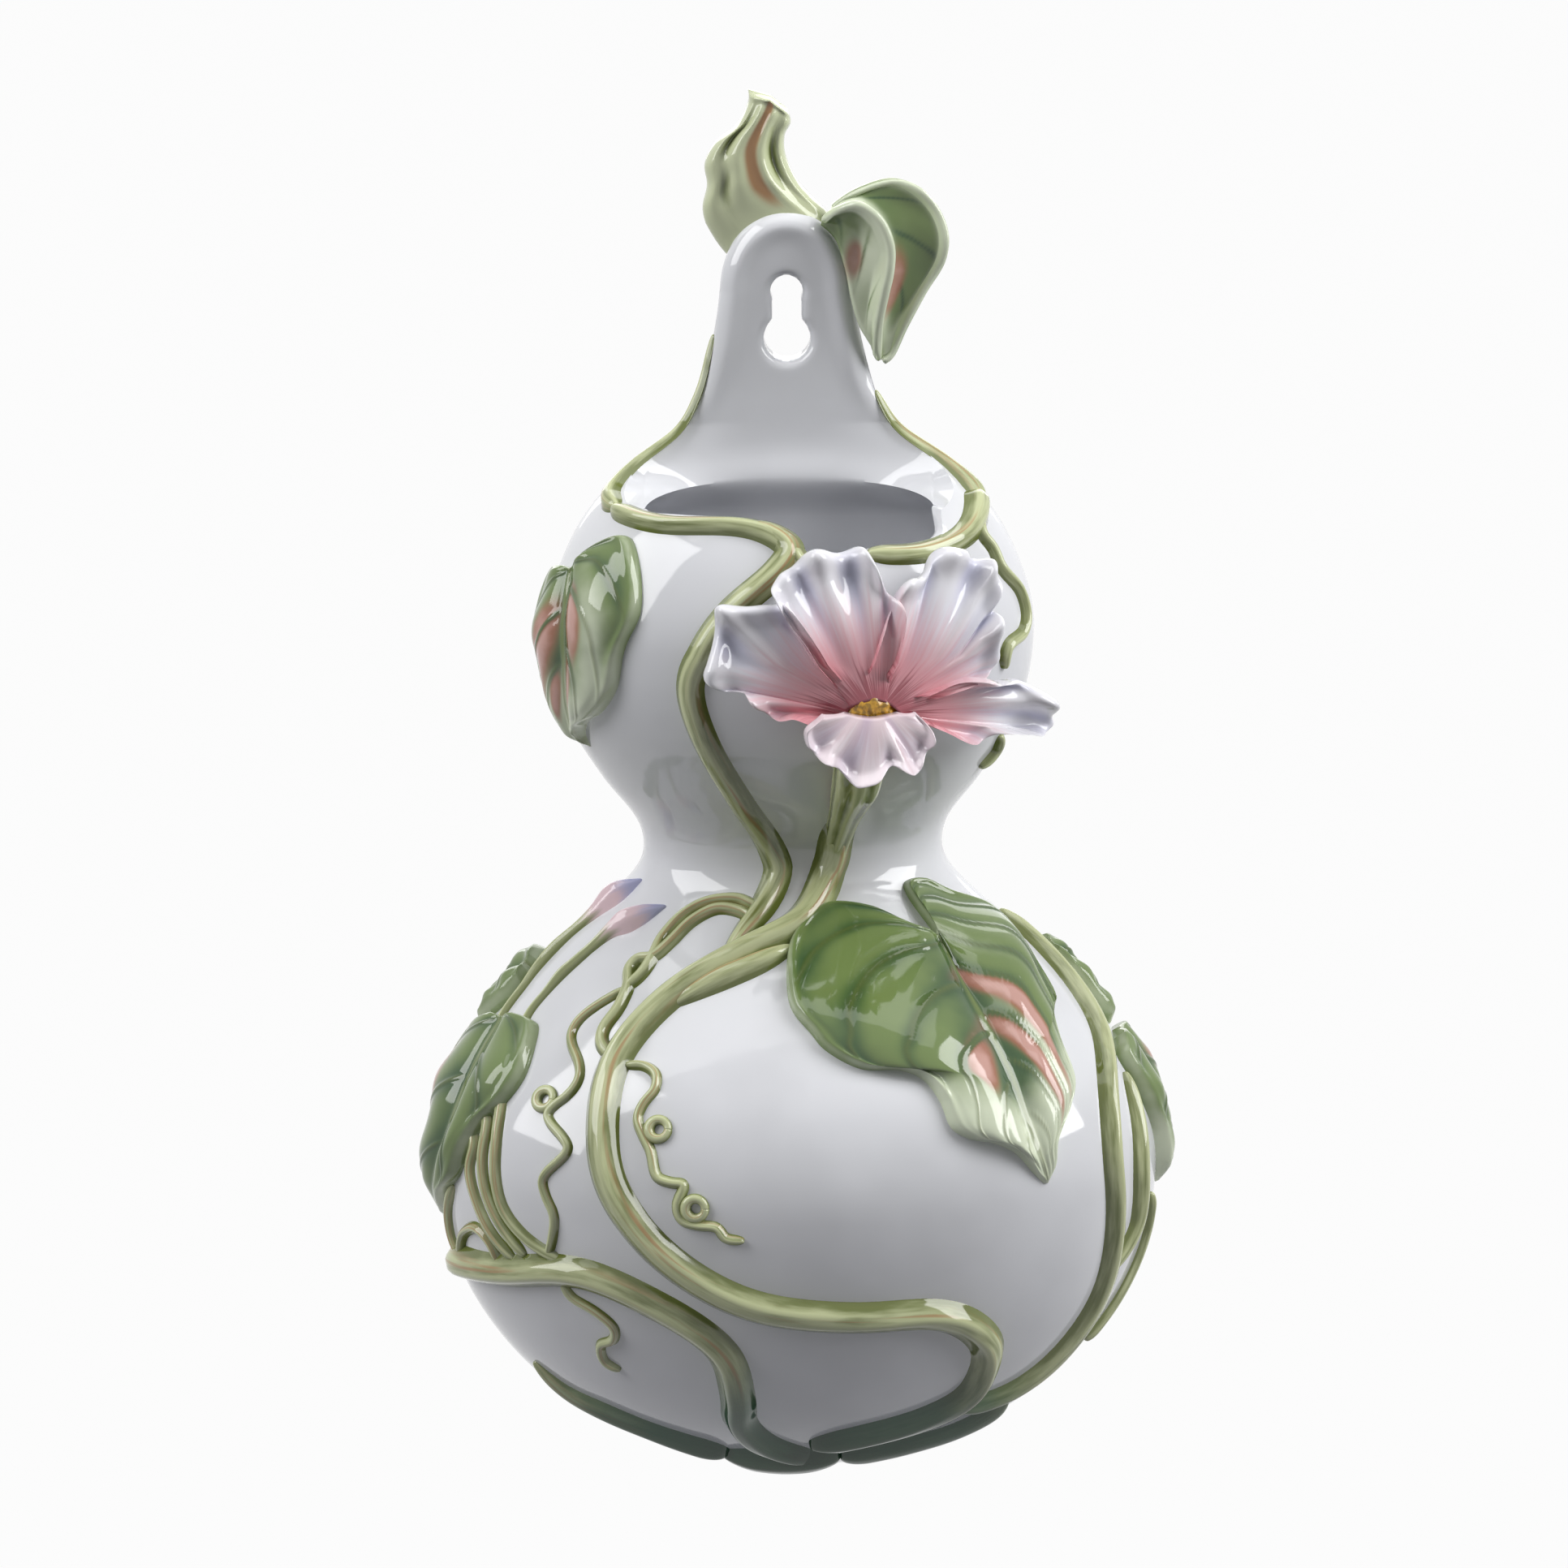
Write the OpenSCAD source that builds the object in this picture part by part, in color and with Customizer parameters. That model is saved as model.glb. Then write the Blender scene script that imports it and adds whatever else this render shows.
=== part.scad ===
// Hanging wall vase: a double gourd in white glazed porcelain with a flat back.
// The back rises above the mouth as a hanging tab with a keyhole. Vines, leaves,
// tendrils, buds and one open flower are laid on the front in relief.
// Frame: +X right, -Y out of the wall, +Z up, millimetres. The wall is y = 0
// and the origin is the centre of the keyhole's narrow upper lobe.

/* [Body widths] */
// Widest part of the lower bulb
lower_w = 188; // [160:1:220]
// Widest part of the upper bulb
upper_w = 126; // [110:1:145]
// Narrowest part of the waist
waist_w = 78; // [68:1:92]
// Width of the hanging tab at the keyhole
neck_w = 34.4; // [32:0.2:42]
// Front to back roundness of every section
depth_k = 0.72; // [0.64:0.01:0.82]

/* [Body heights] */
// From the keyhole up to the top of the tab
arch_h = 21; // [18:0.5:26]
// From the keyhole down to the upper bulb
upper_h = 85; // [75:1:100]
// From the upper bulb down to the waist
waist_h = 60; // [50:1:72]
// From the waist down to the lower bulb
lower_h = 79; // [68:1:95]
// From the lower bulb down to the foot
base_h = 81.6; // [70:0.2:95]

/* [Porcelain] */
// Thickness of the flat back plate
plate_t = 5; // [4:0.5:7]
// Thickness of the pocket wall
wall_t = 4.5; // [3.5:0.5:6]
// Depth of the tab in front of the wall
tab_depth = 10; // [8.5:0.5:13]

/* [Keyhole] */
// Diameter of the lower lobe that passes a screw head
entry_d = 12; // [10:0.5:13]
// Diameter of the upper lobe that rests on the shank
slot_d = 8.4; // [6:0.2:9]
// Width of the way between the two lobes
pinch_w = 7.6; // [5:0.2:8]
// Centre distance of the two lobes
slot_drop = 12.2; // [11:0.2:16]

/* [Vines] */
// Width of the main vine
vine_w = 7; // [5:0.5:9]
// Width of the rim and branch vines
branch_w = 5.6; // [4:0.2:7]
// Width of the curling tendrils
tendril_w = 2.6; // [2:0.2:3.6]
// Height of a vine over its width
vine_round = 0.6; // [0.4:0.05:0.8]

/* [Leaves and flower] */
// Thickness of the leaves at their margins
leaf_t = 2.4; // [1.6:0.2:4]
// Extra height of the leaves beside the midrib
leaf_swell = 2.4; // [1:0.2:4]
// Thickness of the petals
petal_t = 2.6; // [2:0.2:4]
// Height of the waves along the petal edges
ruffle = 1.4; // [0.4:0.1:2]
// Diameter of the flower's centre
disc_d = 14; // [11:0.5:17]

/* [Colours] */
// White porcelain
white = "#E6E7EA";
// Vine green
vine_green = "#B9C48E";
// Leaf green
leaf_green = "#5E8A4A";
// Bud and patch pink
bud_pink = "#D7A9A5";
// Petal lavender
petal_col = "#D9D8E6";
// Flower centre yellow
centre_yellow = "#D9A93F";

/* [Hidden] */

neck_r = neck_w / 2;
lower_r = lower_w / 2;
upper_z = -upper_h;
waist_z = upper_z - waist_h;
lower_z = waist_z - lower_h;
base_z = lower_z - base_h;
// How far relief pieces are let into the shell
seat = 0.3;
// Level of the mouth, counted in landmarks
mouth_q = 0.6;
back_gap = 3;

// Landmark number q to height: 0 keyhole, 1 upper bulb, 2 waist, 3 lower bulb, 4 foot
function level(q) =
  lookup(q, [[-1, arch_h], [0, 0], [1, upper_z], [2, waist_z], [3, lower_z], [4, base_z]]);

// Shape of the outline between two landmarks: share of the drop, share of the width
neck_shape = [[0.176, 0.053], [0.33, 0.136], [0.424, 0.246], [0.518, 0.5], [0.612, 0.706],
  [0.753, 0.879]];
waist_shape = [[0.367, 0.161], [0.658, 0.559], [0.883, 0.949]];
lower_shape = [[0.076, 0.044], [0.177, 0.195], [0.278, 0.372], [0.481, 0.664],
  [0.684, 0.883]];
function run(z0, r0, z1, r1, shape) =
  [for (s = shape) [z0 + (z1 - z0) * s[0], r0 + (r1 - r0) * s[1]]];
stations = concat([[0, neck_r]], run(0, neck_r, upper_z, upper_w / 2, neck_shape),
  [[upper_z, upper_w / 2]],
  run(upper_z, upper_w / 2, waist_z, waist_w / 2, waist_shape),
  [[waist_z, waist_w / 2]],
  run(waist_z, waist_w / 2, lower_z, lower_r, lower_shape), [[lower_z, lower_r]]);
last = len(stations) - 1;
function rise(i) = (stations[i + 1][1] - stations[i][1]) / (stations[i + 1][0] - stations[i][0]);
function turning(i) = stations[i][0] == upper_z || stations[i][0] == waist_z || i == last;
slopes = [for (i = [0:last]) i == 0 ? rise(0) : turning(i) ? 0 : (rise(i - 1) + rise(i)) / 2];

// Cubic through the stations
function outline(z) =
  let (i = min(last - 1, len([for (s = stations) if (s[0] >= z) 1]) - 1))
  let (a = stations[i], b = stations[i + 1], h = b[0] - a[0], t = (z - a[0]) / h)
  (2 * t^3 - 3 * t^2 + 1) * a[1] + (t^3 - 2 * t^2 + t) * h * slopes[i]
    + (3 * t^2 - 2 * t^3) * b[1] + (t^3 - t^2) * h * slopes[i + 1];
function round_r(u) = sqrt(max(0, 1 - u^2));

// Half width of the section at height z, drawn in by "off"
function half_w(z, off = 0) = z >= 0 ? neck_r * round_r(z / arch_h) - off
  : z <= lower_z ? (lower_r - off) * round_r((lower_z - z) / (base_h - off))
  : outline(z) - off;
function mid_y(z) = -0.5 * depth_k * (z < lower_z ? lower_r : z > 0 ? neck_r : half_w(z));

// Point of the outer skin at angle a (0 front, + right) and height z
function skin(a, z, off = 0) =
  let (w = half_w(z, off), d = z <= lower_z ? depth_k * w : depth_k * half_w(z) - off)
  [w * sin(a), mid_y(z) - d * cos(a), z];
function unit(v) = v / max(norm(v), 0.000001);
function out_dir(a, z) =
  unit(cross(skin(a + 1, z) - skin(a - 1, z), skin(a, z + 0.5) - skin(a, z - 0.5)));
// Point at angle a and landmark level q, lifted h off the skin
function lifted(a, q, h) = skin(a, level(q)) + h * out_dir(a, level(q));

// Angle where the section reaches the plane y = -b
function back_angle(z, b, off = 0) =
  let (d = z <= lower_z ? depth_k * half_w(z, off) : depth_k * half_w(z) - off)
  acos(max(-0.9995, min(0.9995, (mid_y(z) + b) / d)));

// Smooth path through the points of a route, n + 1 samples
function blend4(p, q, r, s, t) = 0.5 * (2 * q + (r - p) * t + (2 * p - 5 * q + 4 * r - s) * t^2
  + (3 * q - p - 3 * r + s) * t^3);
function along(route, u) =
  let (m = len(route) - 1, v = u * m, k = min(floor(v), m - 1))
  blend4(route[max(k - 1, 0)], route[k], route[k + 1], route[min(k + 2, m)], v - k);

// Closed skin over a row of rings with a fan at each end
module tube(rings) {
  n = len(rings);
  m = len(rings[0]);
  pts = concat([for (r = rings) each r],
    [[for (c = [0:2]) average([for (p = rings[0]) p[c]])],
     [for (c = [0:2]) average([for (p = rings[n - 1]) p[c]])]]);
  sides = [for (j = [0:n - 2], i = [0:m - 1]) let (a = j * m + i, b = j * m + (i + 1) % m)
    each [[a, b, b + m], [a, b + m, a + m]]];
  ends = [for (i = [0:m - 1]) let (k = (i + 1) % m)
    each [[k, i, n * m], [(n - 1) * m + i, (n - 1) * m + k, n * m + 1]]];
  polyhedron(pts, concat(sides, ends), convexity = 10);
}
function average(v) = v * [for (x = v) 1] / len(v);

// Sheet between a front grid and a back grid of the same size
module sheet(front, back) {
  n = len(front);
  m = len(front[0]);
  s = n * m;
  pts = concat([for (r = front) each r], [for (r = back) each r]);
  faces = [for (j = [0:n - 2], i = [0:m - 2]) let (a = j * m + i)
    each [[a, a + 1, a + m + 1], [a, a + m + 1, a + m],
      [s + a + 1, s + a, s + a + m], [s + a + 1, s + a + m, s + a + m + 1]]];
  rows = [for (j = [0:n - 2]) let (a = j * m, b = j * m + m - 1)
    each [[a, a + m, s + a + m], [a, s + a + m, s + a],
      [b + m, b, s + b], [b + m, s + b, s + b + m]]];
  cols = [for (i = [0:m - 2]) let (a = i, b = (n - 1) * m + i)
    each [[a + 1, a, s + a], [a + 1, s + a, s + a + 1],
      [b, b + 1, s + b + 1], [b, s + b + 1, s + b]]];
  polyhedron(pts, concat(faces, rows, cols), convexity = 10);
}

// Rounded strand laid on the skin: route of [angle, level, width share]
module strand(route, w, n, m = 8, tall = vine_round, floor_h = 0) {
  path = [for (i = [0:n]) along(route, i / n)];
  mid = [for (p = path) lifted(p[0], p[1], floor_h)];
  rings = [for (i = [0:n])
    let (p = path[i], up = out_dir(p[0], level(p[1])))
    let (fwd = unit(mid[min(i + 1, n)] - mid[max(i - 1, 0)]), side = unit(cross(fwd, up)))
    let (end = min(1, 0.45 + 0.55 * min(i, n - i)), ws = w * end * (is_undef(p[2]) ? 1 : p[2]))
    [for (k = [0:m - 1]) let (c = cos(360 * k / m), s = sin(360 * k / m))
      mid[i] + side * c * ws / 2 + up * (s > 0 ? s * ws * tall : s * seat)]];
  tube(rings);
}

// Leaf on the skin between a left margin, a midrib and a right margin
module leaf(l, c, r, n, m, t = leaf_t, swell = leaf_swell, waves = 3, under = -seat) {
  cells = [for (j = [0:n]) [for (i = [-m:m])
    let (u = j / n, s = abs(i) / m, a = along(c, u), b = along(i < 0 ? l : r, u))
    let (p = a + (b - a) * s, hump = swell * sin(180 * s) * sin(180 * min(1, 0.15 + 0.8 * u)))
    let (wave = 0.4 * swell * s * sin(360 * waves * u + (i < 0 ? 0 : 90)))
    [p[0], p[1], (is_undef(p[2]) ? t : p[2]) + hump + wave * min(1, 6 * u, 6 * (1 - u))]]];
  sheet([for (row = cells) [for (p = row) lifted(p[0], p[1], p[2])]],
    [for (row = cells) [for (p = row) lifted(p[0], p[1], under < 0 ? under : p[2] - under)]]);
}

// Petal fanned out from a short root to a ruffled free margin: points of [angle, level, lift]
module petal(root, margin, n, m, waves) {
  cells = [for (j = [0:n]) [for (i = [0:m])
    let (u = j / n, s = i / m, a = along(root, s), b = along(margin, s), p = a + (b - a) * u)
    let (pleat = ruffle * u^1.5 * sin(180 * waves * s + 60), cup = 1.5 * sin(180 * u))
    [p[0], p[1], p[2] + pleat - cup]]];
  sheet([for (row = cells) [for (p = row) lifted(p[0], p[1], p[2])]],
    [for (row = cells) [for (p = row) lifted(p[0], p[1], p[2] - petal_t)]]);
}

// One closed section of the pocket: front arc and flat back at y = -b
arc_n = 25;
chord_n = 3;
function ring_angle(i, z, b, off) = back_angle(z, b, off) * (2 * i / (arc_n - 1) - 1);
function section_pt(i, z, b, off) =
  i < arc_n ? skin(ring_angle(i, z, b, off), z, off)
  : let (e = skin(back_angle(z, b, off), z, off), f = (i - arc_n + 1) / (chord_n + 1))
    [e[0] * (1 - 2 * f), e[1], z];

// Level of the rim over the angle: it dips under the flower
function rim_q(a) = lookup(a, [[-180, mouth_q], [-14, mouth_q], [-2, 0.63], [6, 0.74],
  [14, 0.73], [20, 0.68], [42, 0.68], [56, 0.65], [72, mouth_q], [180, mouth_q]]);
function ring_rim(i) = i < arc_n ? rim_q(110 * (2 * i / (arc_n - 1) - 1)) : mouth_q;

/* One module for each piece */

module back_plate() {
  steps = 34;
  zs = [for (k = [0:steps]) arch_h - 1 + (base_z + 9 - arch_h + 1) * k / steps];
  edge = [for (z = zs) [skin(back_angle(z, plate_t), z)[0], z]];
  color(white)
  difference() {
    rotate([90, 0, 0])
    linear_extrude(plate_t)
    polygon(concat(edge, [for (k = [steps:-1:0]) [-edge[k][0], edge[k][1]]]));
    keyhole(0);
  }
}

// Two lobes and the way between them, cut from front to back
module keyhole(grow) {
  reach = 60;
  translate([0, 1, 0]) rotate([90, 0, 0]) cylinder(d = slot_d + grow, h = reach, $fn = 48);
  translate([0, 1, -slot_drop]) rotate([90, 0, 0]) cylinder(d = entry_d + grow, h = reach, $fn = 64);
  translate([-(pinch_w + grow) / 2, 1 - reach, -slot_drop]) cube([pinch_w + grow, reach, slot_drop]);
}

module pocket_shell() {
  floor_psi = [84, 70, 56, 42, 28, 14];
  up_n = 15;
  outer = concat(
    [for (f = floor_psi) [for (i = [0:arc_n + chord_n - 1])
      section_pt(i, lower_z - base_h * sin(f), plate_t, 0)]],
    [for (k = [0:up_n]) [for (i = [0:arc_n + chord_n - 1])
      section_pt(i, level(3 + (ring_rim(i) - 3) * k / up_n), plate_t, 0)]]);
  in_n = 11;
  inner = concat(
    [for (k = [in_n:-1:0]) [for (i = [0:arc_n + chord_n - 1])
      section_pt(i, level(3 + (ring_rim(i) - 3) * k / in_n), plate_t + back_gap, wall_t)]],
    [for (f = [28, 52, 74]) [for (i = [0:arc_n + chord_n - 1])
      section_pt(i, lower_z - (base_h - wall_t) * sin(f), plate_t + back_gap, wall_t)]]);
  color(white)
  tube(concat(outer, inner));
}

// Angle on the skin where the scooped front of the tab begins
function scoop_angle(z) = 91 - 37 * max(0, min(1, z / level(mouth_q)))^7;

module hanging_tab() {
  rows = 15;
  side_n = 2;
  scoop_n = 5;
  last_col = 2 * (side_n + scoop_n);
  top_z = arch_h - 0.6;
  grid = [for (j = [0:rows])
    let (z = level(mouth_q) + (top_z - level(mouth_q)) * (1 - cos(180 * j / rows)) / 2)
    let (ab = back_angle(z, plate_t + 0.5), af = scoop_angle(z), e = skin(af, z))
    let (thin = tab_depth * min(1, 0.55 + 1.2 * (top_z - z) / arch_h))
    [for (i = [-side_n - scoop_n:side_n + scoop_n])
      let (k = abs(i), sg = sign(i))
      k >= scoop_n
        ? let (a = af + (ab - af) * (k - scoop_n) / side_n, p = skin(a, z)) [sg * p[0], p[1], z]
        : let (f = k / scoop_n) [e[0] * i / scoop_n,
            -thin - (max(-e[1], thin) - thin) * f^2.9 - 1.6 * f^4 * (1 - f) * 4, z]]];
  color(white)
  difference() {
    sheet(grid, [for (row = grid) [for (i = [0:last_col])
      [row[last_col][0] * (2 * i / last_col - 1), -plate_t, row[0][2]]]]);
    keyhole(0.8);
  }
}

module stem_stub() {
  left = [[-15.5, 9], [-19.5, 24], [-19.8, 31], [-18, 37.5], [-12.5, 42], [-9.5, 48], [-9.3, 51.5]];
  mid = [[0, 21], [-6, 27], [-8.5, 32], [-9, 37], [-7, 42], [-4.5, 47], [-3.5, 50]];
  right = [[11, 17.5], [7, 23.5], [2.8, 27.5], [0.2, 34.5], [0, 39.5], [1.6, 43], [0.8, 46.5]];
  rows = 10;
  cols = 4;
  grid = [for (j = [0:rows]) [for (i = [-cols:cols])
    let (u = j / rows, s = i / cols, a = along(mid, u), b = along(i < 0 ? left : right, u))
    let (p = a + (b - a) * abs(s), arc = [neck_r * sin(60 * s), arch_h * cos(60 * s) - 0.3])
    let (g = min(1, 2.5 * u), q = arc * (1 - g) + p * g)
    [q[0], -2 - (7 - 2 * u) * (0.25 + 0.75 * round_r(s)) - 0.8 * cos(540 * s), q[1] + arch_h - 21]]];
  color(vine_green)
  sheet(grid, [for (row = grid) [for (p = row) [p[0], -1, p[2]]]]);
}

module top_leaf() {
  inner = [[9, -9, 19], [12.5, -10, 12], [15.5, -10, 4], [17.5, -10, -3], [19, -10, -10],
    [23, -9, -17]];
  fold = [[10.5, -9, 21], [17, -15, 24.5], [24, -18, 20], [27, -18, 11], [25.5, -16, -1],
    [25, -10.5, -18]];
  outer = [[11, -7, 21.5], [21, -8, 27.8], [31, -9, 28], [41, -9, 18], [37, -9, 2],
    [30, -9, -10], [26, -9.5, -18]];
  n = 10;
  m = 4;
  grid = [for (j = [0:n]) [for (i = [-m:m])
    let (u = j / n, s = abs(i) / m, a = along(fold, u), b = along(i < 0 ? inner : outer, u))
    a + (b - a) * s + [0, -1.6 * sin(180 * s) * (i < 0 ? 0.4 : -1) * sin(180 * u), arch_h - 21]]];
  color(leaf_green)
  sheet(grid, [for (row = grid) [for (p = row) p + [0, leaf_t + 0.6, 0]]]);
}

module rim_vine_left() {
  route = [[-66, 0.61, 1], [-40, 0.635, 1], [-15, 0.63, 1], [-2, 0.67, 1.1], [5, 0.77, 0.9]];
  color(vine_green)
  strand(route, branch_w, 16);
}

module rim_vine_right() {
  route = [[20, 0.71, 0.9], [36, 0.72, 1], [54, 0.69, 1.1], [74, 0.62, 1.4]];
  color(vine_green)
  strand(route, branch_w, 14);
}

module shoulder_vine_left() {
  route = [[-72, 0.61, 1], [-82, 0.53, 0.7], [-87, 0.43, 0.5], [-90, 0.32, 0.4]];
  color(vine_green)
  strand(route, branch_w, 12, 6);
}

module shoulder_vine_right() {
  route = [[80, 0.61, 1.1], [87, 0.54, 0.8], [90, 0.43, 0.5], [91, 0.32, 0.4]];
  color(vine_green)
  strand(route, branch_w, 12, 6);
}

module s_vine() {
  route = [[-2, 0.74], [-16, 0.89], [-24, 1.10], [-22, 1.37], [-15, 1.70], [-7, 1.94],
    [-6, 2.02], [-10, 2.11]];
  color(vine_green)
  strand(route, vine_w, 26);
}

module main_vine() {
  route = [[16, 1.86], [15, 2.00], [4, 2.15], [-14, 2.24], [-28, 2.34], [-35, 2.50], [-34, 2.68],
    [-30, 2.90], [-21, 3.11], [-8, 3.26], [8, 3.31], [24, 3.32], [34, 3.46], [35, 3.60],
    [23, 3.74]];
  color(vine_green)
  strand(route, vine_w, 44);
}

module lower_left_vine() {
  route = [[-78, 3.27, 1.2], [-56, 3.24, 1], [-37, 3.19, 1], [-22, 3.29, 1], [-13, 3.43, 1],
    [-11.5, 3.60, 1], [-8, 3.80, 0.9]];
  color(vine_green)
  strand(route, vine_w, 26);
}

module bottom_vine_left() {
  route = [[-62, 3.60], [-60, 3.67], [-50, 3.72], [-41, 3.77], [-33, 3.81], [-24, 3.86]];
  color(vine_green)
  strand(route, branch_w, 14);
}

module bottom_vine_right() {
  route = [[50, 3.68], [52, 3.75], [46, 3.80], [36, 3.83], [26, 3.86], [16, 3.89]];
  color(vine_green)
  strand(route, branch_w, 14);
}

module foot_knot() {
  route = [[-22, 3.88, 0.8], [-12, 3.885, 1.1], [-2, 3.89, 1.2], [12, 3.90, 0.9]];
  color(vine_green)
  strand(route, vine_w, 8);
}

module right_vine() {
  route = [[88, 2.21, 0.8], [88, 2.34, 1], [80, 2.52, 1], [66, 2.68, 1], [60, 2.88, 1],
    [60.5, 3.10, 1], [59, 3.32, 1], [51, 3.48, 1], [41, 3.60, 0.8]];
  color(vine_green)
  strand(route, branch_w, 26);
}

module right_branch() {
  route = [[76, 2.78, 0.8], [72, 2.84, 0.9], [70, 2.96, 0.9], [70, 3.08, 0.9], [70, 3.18, 0.8],
    [68, 3.25, 0.7]];
  color(vine_green)
  strand(route, branch_w, 14, 6);
}

module left_stalk_outer() {
  route = [[-63, 2.90], [-60, 2.98], [-57, 3.07], [-54, 3.15]];
  color(vine_green)
  strand(route, branch_w * 0.8, 10, 6);
}

module left_stalk_inner() {
  route = [[-54, 2.78], [-52, 2.91], [-50, 3.02], [-46, 3.12]];
  color(vine_green)
  strand(route, branch_w * 0.8, 10, 6);
}

module twin_tendril_outer() {
  route = [[-19, 2.13], [-23, 2.09], [-28, 2.08], [-34, 2.10], [-39, 2.15], [-40, 2.22],
    [-43, 2.27], [-44, 2.31]];
  color(vine_green)
  strand(route, tendril_w * 1.3, 18, 6);
}

module twin_tendril_inner() {
  route = [[-21, 2.18], [-25, 2.15], [-30, 2.15], [-33, 2.19], [-36, 2.25], [-37, 2.31],
    [-39, 2.37], [-41, 2.44]];
  color(vine_green)
  strand(route, tendril_w * 1.3, 18, 6);
}

module left_tendril() {
  route = [[-44, 2.33], [-48, 2.39], [-50, 2.45], [-48, 2.51], [-43, 2.56], [-41, 2.60],
    [-43, 2.66], [-42, 2.73], [-39, 2.78], [-40, 2.83], [-43, 2.88], [-42, 2.94], [-40, 2.98],
    [-41, 3.06], [-41, 3.12]];
  color(vine_green)
  strand(route, tendril_w, 36, 5);
}

module left_tendril_tail() {
  route = [[-39, 3.27], [-37, 3.31], [-34, 3.33], [-32, 3.37], [-33, 3.40], [-36, 3.43],
    [-36, 3.47], [-34, 3.51], [-37, 3.54]];
  color(vine_green)
  strand(route, tendril_w, 24, 6);
}

module middle_tendril() {
  route = [[-31.5, 2.54], [-28, 2.54], [-25, 2.57], [-25, 2.62], [-27, 2.67], [-26, 2.72],
    [-23, 2.76], [-22, 2.84], [-20, 2.88], [-18, 2.88], [-18, 2.95], [-16, 3.01], [-13, 3.01],
    [-11, 3.04], [-8, 3.04]];
  color(vine_green)
  strand(route, tendril_w, 36, 5);
}

module right_tendril() {
  route = [[70, 0.68], [66, 0.73], [64, 0.79], [68, 0.86], [68, 0.96], [61, 1.03], [58, 1.14]];
  color(vine_green)
  strand(route, tendril_w * 1.3, 20, 6);
}

module side_tendril() {
  route = [[78, 3.08], [80, 3.22], [79, 3.34], [76, 3.46], [71, 3.56]];
  color(vine_green)
  strand(route, tendril_w * 1.2, 14, 6);
}

module corner_tendril() {
  route = [[-72, 3.19], [-71, 3.12], [-66, 3.06], [-61, 3.08], [-60, 3.14]];
  color(vine_green)
  strand(route, tendril_w * 1.1, 14, 6);
}

// Small closed curls: a ring seated flat on the skin beside its tendril
module tendril_curls() {
  spots = [[-46.5, 2.66], [-21.2, 2.70], [-15, 2.93]];
  curl_r = 2.5;
  color(vine_green)
  for (s = spots)
    let (p = lifted(s[0], s[1], 0.35 * tendril_w), up = out_dir(s[0], level(s[1])))
    translate(p)
    rotate([0, acos(up[2]), atan2(up[1], up[0])])
    rotate_extrude($fn = 24) translate([curl_r, 0]) circle(d = tendril_w, $fn = 16);
}

module front_leaf() {
  l = [[40, 2.22], [32, 2.18], [24, 2.13], [12, 2.11], [4, 2.14], [-1, 2.20], [-2, 2.28],
    [-1, 2.37], [3, 2.44], [6, 2.49], [12, 2.54], [19, 2.55], [23, 2.58], [25, 2.64], [26, 2.72],
    [29, 2.76], [33, 2.78], [37, 2.82], [40, 2.89], [42, 2.93]];
  c = [[41.5, 2.23], [40, 2.35], [40, 2.47], [40, 2.59], [40, 2.72], [41, 2.84], [42.5, 2.93]];
  r = [[43, 2.20], [43, 2.08], [52, 2.07], [61, 2.12], [75, 2.18], [75, 2.25], [70, 2.34],
    [66, 2.43], [61, 2.46], [57, 2.54], [55, 2.64], [51, 2.71], [46, 2.79], [45, 2.87],
    [43, 2.93]];
  color(leaf_green)
  leaf(l, c, r, 15, 5);
}

module upper_left_leaf() {
  l = [[-71, 0.79], [-80, 0.81], [-84, 0.89], [-84, 0.99], [-83, 1.13], [-78, 1.27],
    [-73, 1.41], [-69, 1.47]];
  c = [[-66, 0.79], [-64, 0.90], [-63, 1.07], [-66, 1.29], [-68, 1.475]];
  r = [[-62, 0.75], [-56, 0.70], [-48, 0.68], [-41, 0.76], [-38, 0.88], [-42, 1.00],
    [-45, 1.16], [-52, 1.28], [-61, 1.35], [-66, 1.42], [-67, 1.48]];
  color(leaf_green)
  leaf(l, c, r, 10, 4);
}

module lower_left_leaf() {
  l = [[-81, 2.51], [-92, 2.58], [-93, 2.68], [-90, 2.78], [-88, 2.89], [-88, 3.01], [-84, 3.13]];
  c = [[-74, 2.50], [-72, 2.60], [-71, 2.72], [-72, 2.85], [-76, 2.99], [-82, 3.14]];
  r = [[-68, 2.48], [-61, 2.48], [-57, 2.54], [-55, 2.62], [-57, 2.70], [-61, 2.77],
    [-64, 2.86], [-67, 2.96], [-73, 3.04], [-80, 3.14]];
  color(leaf_green)
  leaf(l, c, r, 10, 4);
}

module left_back_leaf() {
  l = [[-90, 2.36], [-97, 2.34], [-104, 2.37], [-107, 2.44], [-105, 2.52], [-98, 2.58]];
  c = [[-88, 2.38], [-93, 2.40], [-96, 2.46], [-97, 2.52], [-96, 2.58]];
  r = [[-86, 2.39], [-83, 2.42], [-84, 2.46], [-87, 2.50], [-91, 2.54], [-94, 2.58]];
  color(leaf_green)
  leaf(l, c, r, 8, 3);
}

module right_leaf() {
  l = [[82, 2.60], [77, 2.64], [78, 2.72], [80, 2.80], [83, 2.90], [85, 3.00], [88, 3.09]];
  c = [[88, 2.59], [89, 2.69], [90, 2.80], [90, 2.92], [90, 3.03], [90, 3.10]];
  r = [[95, 2.60], [101, 2.65], [103, 2.74], [101, 2.86], [98, 2.98], [92, 3.09]];
  color(leaf_green)
  leaf(l, c, r, 10, 3);
}

module right_upper_leaf() {
  l = [[90, 2.37], [88.5, 2.42], [88, 2.48], [89, 2.54], [93, 2.585]];
  c = [[93, 2.34], [96, 2.39], [97, 2.46], [97, 2.53], [95, 2.59]];
  r = [[96, 2.32], [103, 2.35], [107, 2.43], [106, 2.51], [98, 2.585]];
  color(leaf_green)
  leaf(l, c, r, 8, 3);
}

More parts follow.
